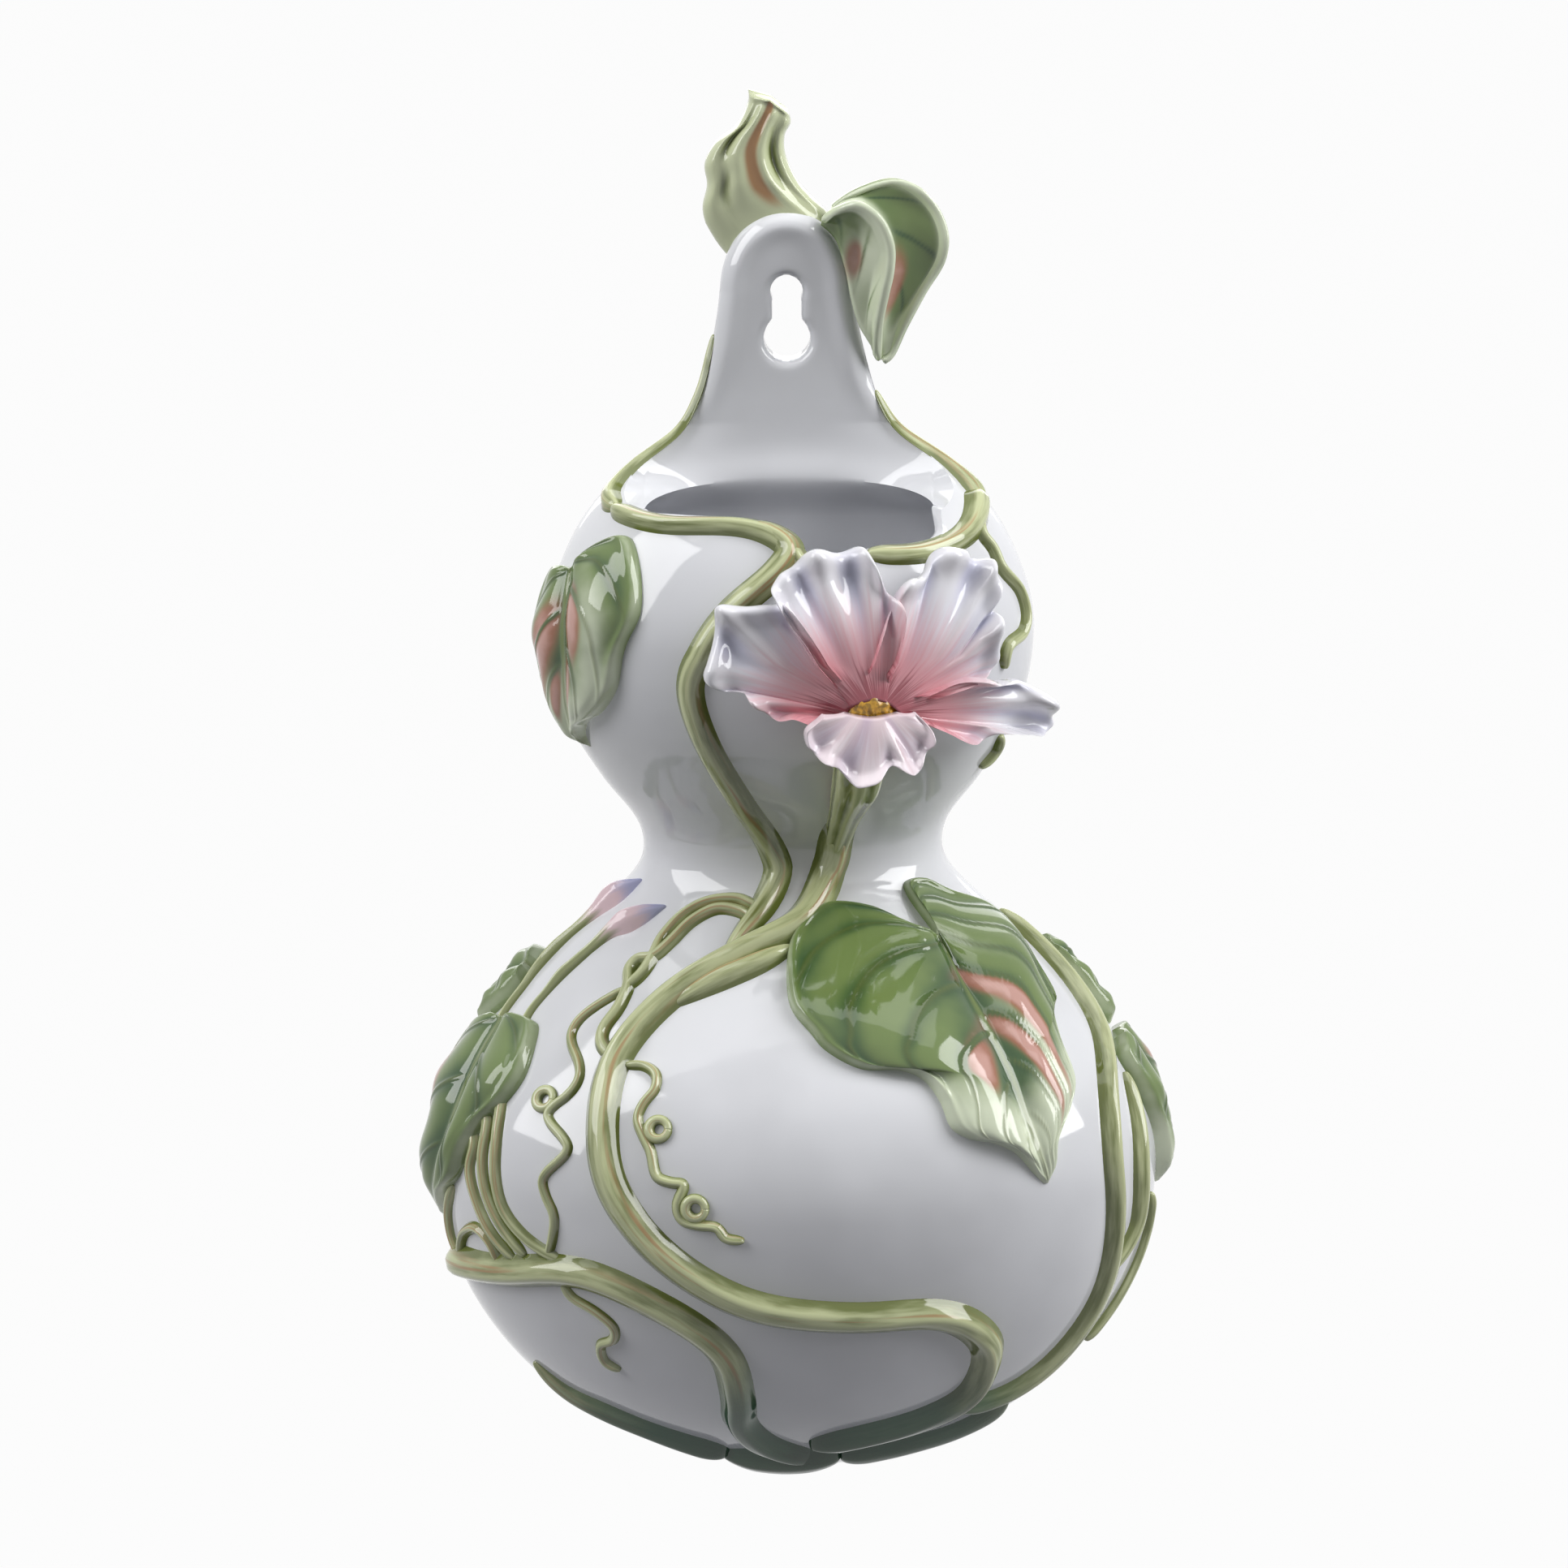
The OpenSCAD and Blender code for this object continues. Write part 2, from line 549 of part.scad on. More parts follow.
module front_bud() {
  route = [[-67, 2.45, 0.4], [-66.5, 2.40, 0.4], [-66, 2.35, 0.55], [-64.5, 2.31, 0.5],
    [-62.5, 2.26, 0.5], [-60.5, 2.22, 0.75], [-56.5, 2.19, 1.15], [-51, 2.155, 0.8],
    [-46, 2.13, 0.3]];
  color(bud_pink)
  strand(route, vine_w, 22, 6, 0.55);
}

module side_bud() {
  route = [[-81, 2.42, 0.4], [-83, 2.37, 0.5], [-84, 2.31, 0.6], [-83, 2.25, 0.5],
    [-81, 2.20, 0.7], [-78, 2.15, 1.1], [-74, 2.11, 0.8], [-70, 2.08, 0.3]];
  color(bud_pink)
  strand(route, vine_w, 20, 6, 0.55);
}

// Round piece along a free line: points with a radius
module stalk(line, n, m) {
  mid = [for (i = [0:n]) along(line, i / n)];
  pos = [for (p = mid) lifted(p[0], p[1], p[2])];
  rings = [for (i = [0:n])
    let (fwd = unit(pos[min(i + 1, n)] - pos[max(i - 1, 0)]), a = unit(cross(fwd, [1, 0, 0])))
    let (b = cross(fwd, a))
    [for (k = [0:m - 1]) pos[i] + mid[i][3] * (a * cos(360 * k / m) + b * sin(360 * k / m))]];
  tube(rings);
}

module calyx() {
  line = [[17.5, 1.42, 9, 6.6], [17.5, 1.54, 9, 6.4], [17, 1.66, 6.5, 4.8], [16.3, 1.78, 3.4, 3.4],
    [16, 1.87, 1.6, 2.8]];
  color(vine_green)
  stalk(line, 8, 8);
}

module flower_throat() {
  line = [[19, 1.24, -0.5, 8.5], [19, 1.24, 4, 8.5], [19, 1.24, 9, 7.6], [19, 1.235, 12, 7.2]];
  color(petal_col)
  stalk(line, 3, 10);
}

module flower_disc() {
  line = [[19, 1.235, 11.8, disc_d * 0.5], [19, 1.234, 13, disc_d * 0.48],
    [19, 1.233, 14.2, disc_d * 0.3], [19, 1.232, 14.6, disc_d * 0.1]];
  color(centre_yellow)
  stalk(line, 3, 10);
}

module petal_left() {
  root = [[14, 1.20, 11], [13, 1.24, 11], [14, 1.28, 11]];
  margin = [[8, 1.07, 8], [0, 0.95, 7], [-5, 0.88, 7], [-15, 0.88, 7], [-19, 0.96, 7],
    [-19.5, 1.04, 7], [-17, 1.13, 7], [-9, 1.20, 8], [-8, 1.25, 8], [3, 1.29, 9]];
  color(petal_col)
  petal(root, margin, 6, 14, 6);
}

module petal_top() {
  root = [[15, 1.21, 11], [17, 1.20, 11], [19, 1.20, 11]];
  margin = [[9, 1.10, 8], [1, 0.96, 7], [-2, 0.88, 7], [-1, 0.79, 7], [7, 0.74, 7],
    [16, 0.745, 7], [21, 0.77, 7], [25, 0.83, 7], [25, 0.93, 7], [22, 1.06, 8]];
  color(petal_col)
  petal(root, margin, 6, 14, 6);
}

module petal_right_top() {
  root = [[20, 1.20, 11], [22, 1.205, 11], [24, 1.22, 11]];
  margin = [[25, 1.06, 8], [27, 0.92, 7], [30, 0.83, 7], [37, 0.77, 7], [47, 0.745, 7],
    [53, 0.79, 7], [54, 0.87, 7], [53, 0.94, 7], [57, 1.03, 7], [50, 1.13, 8], [37, 1.17, 9]];
  color(petal_col)
  petal(root, margin, 6, 14, 7);
}

module petal_right() {
  root = [[24, 1.22, 12], [25, 1.245, 12], [24, 1.27, 12]];
  margin = [[36, 1.18, 11], [51, 1.13, 11], [61, 1.12, 12], [70, 1.18, 13], [75, 1.25, 13],
    [65, 1.32, 14], [54, 1.36, 14], [43, 1.32, 14], [33, 1.30, 14]];
  color(petal_col)
  petal(root, margin, 6, 13, 6);
}

module petal_bottom() {
  root = [[15, 1.27, 13], [18.5, 1.28, 13], [22, 1.27, 13]];
  margin = [[5, 1.28, 14], [-1, 1.34, 16], [0, 1.42, 18], [6, 1.48, 19], [13, 1.545, 20],
    [19, 1.54, 20], [25, 1.50, 20], [32, 1.47, 19], [34, 1.38, 18], [30, 1.27, 15]];
  color(petal_col)
  petal(root, margin, 6, 14, 6);
}

back_plate();
pocket_shell();
hanging_tab();
stem_stub();
top_leaf();
rim_vine_left();
rim_vine_right();
shoulder_vine_left();
shoulder_vine_right();
s_vine();
main_vine();
lower_left_vine();
bottom_vine_left();
bottom_vine_right();
foot_knot();
right_vine();
right_branch();
left_stalk_outer();
left_stalk_inner();
twin_tendril_outer();
twin_tendril_inner();
left_tendril();
left_tendril_tail();
middle_tendril();
right_tendril();
side_tendril();
corner_tendril();
tendril_curls();
front_leaf();
upper_left_leaf();
lower_left_leaf();
left_back_leaf();
right_leaf();
right_upper_leaf();
front_bud();
side_bud();
calyx();
flower_throat();
flower_disc();
petal_left();
petal_top();
petal_right_top();
petal_right();
petal_bottom();
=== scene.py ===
"""Hanging wall vase: a white glazed porcelain double gourd with vines and one flower in relief."""

from types import SimpleNamespace

import bpy
import numpy as np
from mathutils import Matrix, Vector


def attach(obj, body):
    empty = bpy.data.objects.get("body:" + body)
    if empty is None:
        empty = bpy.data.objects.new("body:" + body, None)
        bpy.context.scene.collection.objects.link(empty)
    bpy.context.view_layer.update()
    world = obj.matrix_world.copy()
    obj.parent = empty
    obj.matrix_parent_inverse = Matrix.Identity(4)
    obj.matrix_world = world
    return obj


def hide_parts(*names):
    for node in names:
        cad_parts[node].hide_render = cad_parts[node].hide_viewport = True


bl_info = {
    "name": "Gourd Wall Vase",
    "version": (1, 0, 0),
    "blender": (4, 5, 0),
    "location": "View3D > Sidebar > Wall Vase",
    "description": "Builds a porcelain wall vase with vines, leaves and a flower in relief",
    "category": "Object",
}

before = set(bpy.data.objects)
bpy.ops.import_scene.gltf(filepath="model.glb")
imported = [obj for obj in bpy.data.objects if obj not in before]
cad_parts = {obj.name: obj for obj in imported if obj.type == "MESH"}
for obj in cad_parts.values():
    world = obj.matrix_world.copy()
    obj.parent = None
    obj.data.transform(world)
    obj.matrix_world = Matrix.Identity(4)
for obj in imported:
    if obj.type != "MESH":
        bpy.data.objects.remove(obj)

MM = 0.001


def linear(code):
    """Linear colour of an sRGB hex code: ((c + 0.055) / 1.055) to the power 2.4 above 0.04045."""
    c = np.array([int(code[i:i + 2], 16) for i in (1, 3, 5)]) / 255.0
    return tuple(np.where(c <= 0.04045, c / 12.92, ((c + 0.055) / 1.055) ** 2.4)) + (1.0,)


def length(name, description, default):
    """A length in metres."""
    return bpy.props.FloatProperty(
        name=name, description=description, default=default, min=0.0001,
        unit="LENGTH", subtype="DISTANCE", precision=4)


def colour(name, description, code):
    """A colour given as an sRGB hex code."""
    return bpy.props.FloatVectorProperty(
        name=name, description=description, default=linear(code), size=4,
        min=0.0, max=1.0, subtype="COLOR")


class VaseSizes(bpy.types.PropertyGroup):
    """Sizes of the vase."""

    lower_w: length("Lower bulb", "Widest part of the lower bulb", 0.188)
    upper_w: length("Upper bulb", "Widest part of the upper bulb", 0.126)
    waist_w: length("Waist", "Narrowest part of the waist", 0.078)
    neck_w: length("Tab", "Width of the hanging tab at the keyhole", 0.0344)
    arch_h: length("Arch", "From the keyhole up to the top of the tab", 0.021)
    upper_h: length("Upper drop", "From the keyhole down to the upper bulb", 0.085)
    waist_h: length("Waist drop", "From the upper bulb down to the waist", 0.060)
    lower_h: length("Lower drop", "From the waist down to the lower bulb", 0.079)
    base_h: length("Foot drop", "From the lower bulb down to the foot", 0.0816)
    plate_t: length("Back plate", "Thickness of the flat back plate", 0.005)
    wall_t: length("Wall", "Thickness of the pocket wall", 0.0045)
    tab_depth: length("Tab depth", "Depth of the tab in front of the wall", 0.010)
    entry_d: length("Screw head", "Diameter of the keyhole's lower lobe", 0.012)
    slot_d: length("Shank", "Diameter of the keyhole's upper lobe", 0.0084)
    slot_drop: length("Lobe distance", "Centre distance of the two lobes", 0.0122)
    vine_w: length("Main vine", "Width of the main vine", 0.007)
    branch_w: length("Branches", "Width of the rim and branch vines", 0.0056)
    tendril_w: length("Tendrils", "Width of the curling tendrils", 0.0026)
    leaf_t: length("Leaf margin", "Thickness of the leaves at their margins", 0.0024)
    petal_t: length("Petals", "Thickness of the petals", 0.0024)
    ruffle: length("Ruffles", "Height of the waves along the petal edges", 0.0014)
    disc_d: length("Flower centre", "Diameter of the flower's centre", 0.014)
    depth_k: bpy.props.FloatProperty(
        name="Roundness", description="Front to back roundness of every section",
        default=0.72, min=0.5, max=1.0)


class VaseColours(bpy.types.PropertyGroup):
    """Colours of the glazes."""

    white: colour("Porcelain", "White body", "#E4E5E9")
    vine_pale: colour("Vine pale", "Thin vine glaze on the ridges", "#C5CB9B")
    vine_deep: colour("Vine deep", "Vine glaze pooled in the hollows", "#6B7537")
    vine_brown: colour("Vine brown", "Brown strokes along the vines", "#AC7F50")
    # Foot green: partly the glaze's dark green and partly painted shade on the vines near the foot.
    teal: colour("Foot green", "Dark green wash of the vines near the foot", "#144C38")
    leaf_pale: colour("Leaf pale", "Pale green of tips and margins", "#D9E2C6")
    leaf_mid: colour("Leaf green", "Green of the leaves", "#74894F")
    leaf_deep: colour("Leaf deep", "Green pooled along the veins", "#3B5A34")
    blush: colour("Blush", "Pink in the middle of the patches between the veins", "#CFA196")
    rust: colour("Rust", "Red brown at the edges of the patches", "#AE6A55")
    petal_white: colour("Petal edge", "Near white of the petal ridges", "#F0EFF4")
    petal_blue: colour("Petal hollow", "Lavender pooled in the petal hollows", "#B4B6DA")
    petal_pink: colour("Petal pink", "Pink of the petals' middle", "#E3A1A9")
    petal_maroon: colour("Throat", "Maroon strokes in the throat", "#A5525D")
    yellow: colour("Flower centre", "Yellow of the centre", "#D9A431")
    floor: colour("Floor", "Pale floor", "#909094")


def sizes():
    """The panel's sizes in millimetres."""
    p = bpy.context.scene.vase_sizes
    keys = [k for k in VaseSizes.__annotations__ if k != "depth_k"]
    return SimpleNamespace(depth_k=p.depth_k, **{k: getattr(p, k) / MM for k in keys})


def tint(name):
    """A colour of the panel."""
    return tuple(getattr(bpy.context.scene.vase_colours, name))


# Surface of the gourd

def smooth(x, a, b):
    """Smooth step from 0 at a to 1 at b: 3t^2 - 2t^3."""
    t = np.clip((x - a) / (b - a), 0.0, 1.0)
    return t * t * (3.0 - 2.0 * t)


def bump(x, centre, reach):
    """Bell curve: e to the power of minus ((x - centre) / reach) squared."""
    return np.exp(-((x - centre) / reach) ** 2)


def unit(v):
    """Vectors divided by their lengths."""
    return v / np.maximum(np.linalg.norm(v, axis=-1, keepdims=True), 1e-9)


def along(points, u):
    """Smooth path through points at u in 0..1: the Catmull-Rom cubic of the four nearest points."""
    p = np.asarray(points, float)
    m = len(p) - 1
    v = np.clip(np.asarray(u, float), 0.0, 1.0) * m
    k = np.minimum(np.floor(v).astype(int), m - 1)
    t = (v - k)[..., None]
    a, b, c, d = (p[np.clip(k + i, 0, m)] for i in (-1, 0, 1, 2))
    return 0.5 * (2 * b + (c - a) * t + (2 * a - 5 * b + 4 * c - d) * t ** 2
                  + (3 * b - a - 3 * c + d) * t ** 3)


class Gourd:
    """The curved skin of the vase, in millimetres, from the sizes in the panel."""

    NECK = [(0.176, 0.053), (0.33, 0.136), (0.424, 0.246), (0.518, 0.5), (0.612, 0.706),
            (0.753, 0.879)]
    WAIST = [(0.367, 0.161), (0.658, 0.559), (0.883, 0.949)]
    LOWER = [(0.076, 0.044), (0.177, 0.195), (0.278, 0.372), (0.481, 0.664), (0.684, 0.883)]

    def __init__(self, s):
        """Landmark heights, and stations of the outline with a slope at each: the mean of the
        slopes on both sides, and level at the bulbs and the waist."""
        self.s = s
        self.k = s.depth_k
        self.neck_r, self.lower_r = s.neck_w / 2, s.lower_w / 2
        self.upper_z = -s.upper_h
        self.waist_z = self.upper_z - s.waist_h
        self.lower_z = self.waist_z - s.lower_h
        self.base_z = self.lower_z - s.base_h
        marks = [(0.0, self.neck_r), (self.upper_z, s.upper_w / 2),
                 (self.waist_z, s.waist_w / 2), (self.lower_z, self.lower_r)]
        rows = [marks[0]]
        for (z0, r0), (z1, r1), shape in zip(marks, marks[1:], (self.NECK, self.WAIST, self.LOWER)):
            rows += [(z0 + (z1 - z0) * a, r0 + (r1 - r0) * b) for a, b in shape] + [(z1, r1)]
        self.z, self.r = np.array(rows).T
        rise = np.diff(self.r) / np.diff(self.z)
        slope = np.concatenate([rise[:1], (rise[:-1] + rise[1:]) / 2, [0.0]])
        turning = np.isin(self.z, [m[0] for m in marks[1:]])
        self.slope = np.where(turning, 0.0, slope)

    def level(self, q):
        """Height of landmark number q: 0 keyhole, 1 upper bulb, 2 waist, 3 lower bulb, 4 foot."""
        return np.interp(q, [-1, 0, 1, 2, 3, 4], [self.s.arch_h, 0.0, self.upper_z, self.waist_z,
                                                  self.lower_z, self.base_z])

    def half_w(self, z):
        """Half width: half ellipses above the keyhole and below the lower bulb, cubics between."""
        z = np.asarray(z, float)
        top = self.neck_r * np.sqrt(np.clip(1 - (z / self.s.arch_h) ** 2, 0, 1))
        low = self.lower_r * np.sqrt(
            np.clip(1 - ((self.lower_z - z) / (self.lower_z - self.base_z)) ** 2, 0, 1))
        zz = np.clip(z, self.lower_z + 1e-6, -1e-6)
        i = np.clip(np.searchsorted(-self.z, -zz, side="right") - 1, 0, len(self.z) - 2)
        h = self.z[i + 1] - self.z[i]
        t = (zz - self.z[i]) / h
        mid = ((2 * t ** 3 - 3 * t ** 2 + 1) * self.r[i]
               + (t ** 3 - 2 * t ** 2 + t) * h * self.slope[i]
               + (3 * t ** 2 - 2 * t ** 3) * self.r[i + 1]
               + (t ** 3 - t ** 2) * h * self.slope[i + 1])
        return np.where(z >= 0, top, np.where(z <= self.lower_z, low, mid))

    def mid_y(self, z):
        """Depth of the section's centre: half its front to back radius out of the wall."""
        return -0.5 * self.k * self.half_w(np.clip(z, self.lower_z, 0.0))

    def skin(self, a, z, off=0.0):
        """Point at angle a (degrees, 0 front, + right) and height z, drawn in by off."""
        a = np.radians(a)
        w = self.half_w(z)
        return np.stack(np.broadcast_arrays(
            np.maximum(w - off, 0) * np.sin(a),
            self.mid_y(z) - np.maximum(self.k * w - off, 0) * np.cos(a), z), -1)

    def out_dir(self, a, z):
        """Outward normal: cross product of the skin's slopes round and up."""
        return unit(np.cross(self.skin(a + 0.6, z) - self.skin(a - 0.6, z),
                             self.skin(a, z + 0.4) - self.skin(a, z - 0.4)))

    def lifted(self, a, q, h):
        """Point at angle a and landmark level q, h off the skin."""
        z = self.level(q)
        return self.skin(a, z) + np.asarray(h)[..., None] * self.out_dir(a, z)

    def back_angle(self, z, b, off=0.0):
        """Angle where the section drawn in by off reaches the plane b in front of the wall."""
        d = np.maximum(self.k * self.half_w(z) - off, 1e-3)
        return np.degrees(np.arccos(np.clip((self.mid_y(z) + b) / d, -0.999, 0.999)))


# Meshes

def ring_faces(rows, cols):
    """Quads of a grid whose columns close on themselves."""
    j, i = np.mgrid[0:rows - 1, 0:cols]
    k = (i + 1) % cols
    return np.stack([j * cols + i, j * cols + k, (j + 1) * cols + k, (j + 1) * cols + i],
                    -1).reshape(-1, 4)


def outward(points, faces, marks):
    """Faces turned so that the closed skin's volume, the sum of a . (b x c) / 6, is positive."""
    volume = 0.0
    for f in faces:
        for k in range(1, f.shape[1] - 1):
            a, b, c = points[f[:, 0]], points[f[:, k]], points[f[:, k + 1]]
            volume += np.einsum("ij,ij->", a, np.cross(b, c)) / 6.0
    return points, (faces if volume > 0 else [f[:, ::-1] for f in faces]), marks


def tube(grid, marks=None):
    """Closed skin over rings, with a fan to the mean of the first and of the last ring."""
    n, m = grid.shape[:2]
    points = np.concatenate([grid.reshape(-1, 3), grid[0].mean(0)[None], grid[-1].mean(0)[None]])
    i = np.arange(m)
    k = (i + 1) % m
    first = np.stack([k, i, np.full(m, n * m)], -1)
    final = np.stack([(n - 1) * m + i, (n - 1) * m + k, np.full(m, n * m + 1)], -1)
    out = {key: np.concatenate([v.reshape(-1), [v[0].mean(), v[-1].mean()]])
           for key, v in (marks or {}).items()}
    return outward(points, [ring_faces(n, m), first, final], out)


def slab(front, back, marks=None):
    """Closed sheet between a front grid and a back grid joined round their four edges."""
    n, m = front.shape[:2]
    s = n * m
    j, i = np.mgrid[0:n - 1, 0:m - 1]
    a = (j * m + i).reshape(-1)
    face = np.stack([a, a + 1, a + m + 1, a + m], -1)
    rim = np.concatenate([np.arange(m), np.arange(1, n) * m + m - 1,
                          (n - 1) * m + np.arange(m - 2, -1, -1), np.arange(n - 2, 0, -1) * m])
    nxt = np.roll(rim, -1)
    wall = np.stack([nxt, rim, rim + s, nxt + s], -1)
    out = {key: np.concatenate([v.reshape(-1), v.reshape(-1)]) for key, v in (marks or {}).items()}
    points = np.concatenate([front.reshape(-1, 3), back.reshape(-1, 3)])
    return outward(points, [face, face[:, ::-1] + s, wall], out)


def joined(parts):
    """Several closed skins as one list of points and faces."""
    points, faces, marks, start = [], [], {}, 0
    for p, f, a in parts:
        points.append(p)
        faces += [x + start for x in f]
        start += len(p)
        for key, v in a.items():
            marks.setdefault(key, []).append(v)
    return np.concatenate(points), faces, {k: np.concatenate(v) for k, v in marks.items()}


def piece(name, skin, material, nodes):
    """Mesh object from points in millimetres, riding on the vase and standing for CAD nodes."""
    points, faces, marks = skin
    mesh = bpy.data.meshes.new(name)
    mesh.from_pydata((points * MM).tolist(), [], [f for x in faces for f in x.tolist()])
    for key, values in marks.items():
        mesh.attributes.new(key, "FLOAT", "POINT").data.foreach_set(
            "value", np.asarray(values, np.float32))
    mesh.polygons.foreach_set("use_smooth", np.ones(len(mesh.polygons), bool))
    mesh.materials.append(material)
    mesh.update()
    obj = bpy.data.objects.new(name, mesh)
    bpy.context.scene.collection.objects.link(obj)
    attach(obj, "root")
    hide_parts(*nodes)
    return obj


# White body

# The mouth lies at level RIM_Q. Its front rim takes the share TIP of the columns and ends at
# TIP_OUT degrees outside and TIP_IN inside, where the tab's crest starts and climbs to SIDE.

RIM_Q = 0.61
TIP = 0.4
TIP_OUT, TIP_IN = 53.0, 55.5
SIDE = 91.0


def scoop(g, z):
    """Angle of the crest where the open front meets the skin: 91 - 38 (z / rim)^7."""
    return SIDE - (SIDE - TIP_OUT) * np.clip(z / g.level(RIM_Q), 0.0, 1.0) ** 7


def rim_level(g, a):
    """Height of the front rim over the angle, the mean at five angles two degrees apart: it
    dips behind the flower."""
    q = np.mean([np.interp(a + d, [-53, -14, -2, 6, 14, 20, 40, 48, 53],
                           [0.622, 0.618, 0.643, 0.75, 0.745, 0.705, 0.708, 0.675, 0.62])
                 for d in (-4, -2, 0, 2, 4)], axis=0)
    return g.level(RIM_Q + (q - RIM_Q) * (1 - smooth(np.abs(a), 46, TIP_OUT)))


def key_profile(g, z):
    """Half width of the keyhole: the 8-norm of its two circles and the way between them."""
    s = g.s
    upper = np.sqrt(np.clip((s.slot_d / 2) ** 2 - z ** 2, 0, None))
    lower = np.sqrt(np.clip((s.entry_d / 2) ** 2 - (z + s.slot_drop) ** 2, 0, None))
    way = 0.9 * s.slot_d / 2 * smooth(z, -s.slot_drop, -s.slot_drop + 3) * (1 - smooth(z, -3, 0))
    return (upper ** 8 + lower ** 8 + way ** 8) ** 0.125


def key_outline(g, n=90):
    """Closed outline of the keyhole as x and z."""
    top, low = g.s.slot_d / 2, -g.s.slot_drop - g.s.entry_d / 2
    z = (top + low) / 2 + (top - low) / 2 * np.cos(np.pi * np.linspace(0, 1, n))
    x = key_profile(g, z)
    return np.concatenate([np.stack([x, z], -1), np.stack([-x, z], -1)[-2:0:-1]])


def hole_edge(g, x):
    """Height of the mouth's back edge: an arch of 3.6 mm over the mouth's width."""
    tip = mouth_half(g)
    return g.level(RIM_Q) - 0.3 + 3.6 * np.sqrt(np.clip(1 - (x / tip) ** 2, 0, 1))


def mouth_half(g):
    """Half width of the mouth, where its back edge meets the front rim."""
    return (g.half_w(g.level(RIM_Q)) - g.s.wall_t) * np.sin(np.radians(TIP_IN))


def face_depth(g, x, z):
    """Depth of the tab's open front: flat, rising to the crest as the 2.9th power of |x|,
    with a rolled border, a lip over the mouth and a rounded edge round the keyhole."""
    s = g.s
    zc = np.clip(z, g.level(RIM_Q), s.arch_h - 0.02)
    edge = g.skin(scoop(g, zc), zc)
    xe, ye = np.maximum(edge[..., 0], 0.5), -edge[..., 1]
    f = np.clip(np.abs(x) / xe, 0, 1)
    ex, ez = x / g.neck_r, np.maximum(z, 0) / s.arch_h
    rho = np.sqrt(ex ** 2 + ez ** 2) + 1e-9
    reach = (g.neck_r * ex ** 2 + s.arch_h * ez ** 2) / rho ** 2
    dist = np.where(z > 0, np.clip(1 - rho, 0, 1) * reach, (1 - f) * xe)
    deep = np.maximum(ye, s.tab_depth)
    depth = s.tab_depth + (deep - s.tab_depth) * f ** 2.9
    depth = depth + 1.0 * bump(dist, 4.2, 2.8) * (1 - smooth(-z, 14, 34))
    over = np.clip(z - hole_edge(g, x), 0, None)
    depth = depth + 2.2 * bump(over, 0, 6.0) * np.sqrt(np.clip(1 - (x / mouth_half(g)) ** 2, 0, 1))
    quarter = np.sqrt(1 - (1 - np.clip(dist / 4.5, 0, 1)) ** 2)
    depth = np.where(depth > ye, ye + (depth - ye) * quarter, depth)
    near = (np.abs(x) < 12) & (z > -24) & (z < 10)
    spots = np.stack([x[near], z[near]], -1)
    gap = np.linalg.norm(spots[:, None] - key_outline(g)[None], axis=-1).min(1)
    gap = np.where(np.abs(spots[:, 0]) < key_profile(g, spots[:, 1]), 0, gap)
    round_r = 2.2
    fall = round_r * (1 - np.sqrt(1 - (1 - np.clip(gap / round_r, 0, 1)) ** 2))
    depth[near] -= fall
    return depth


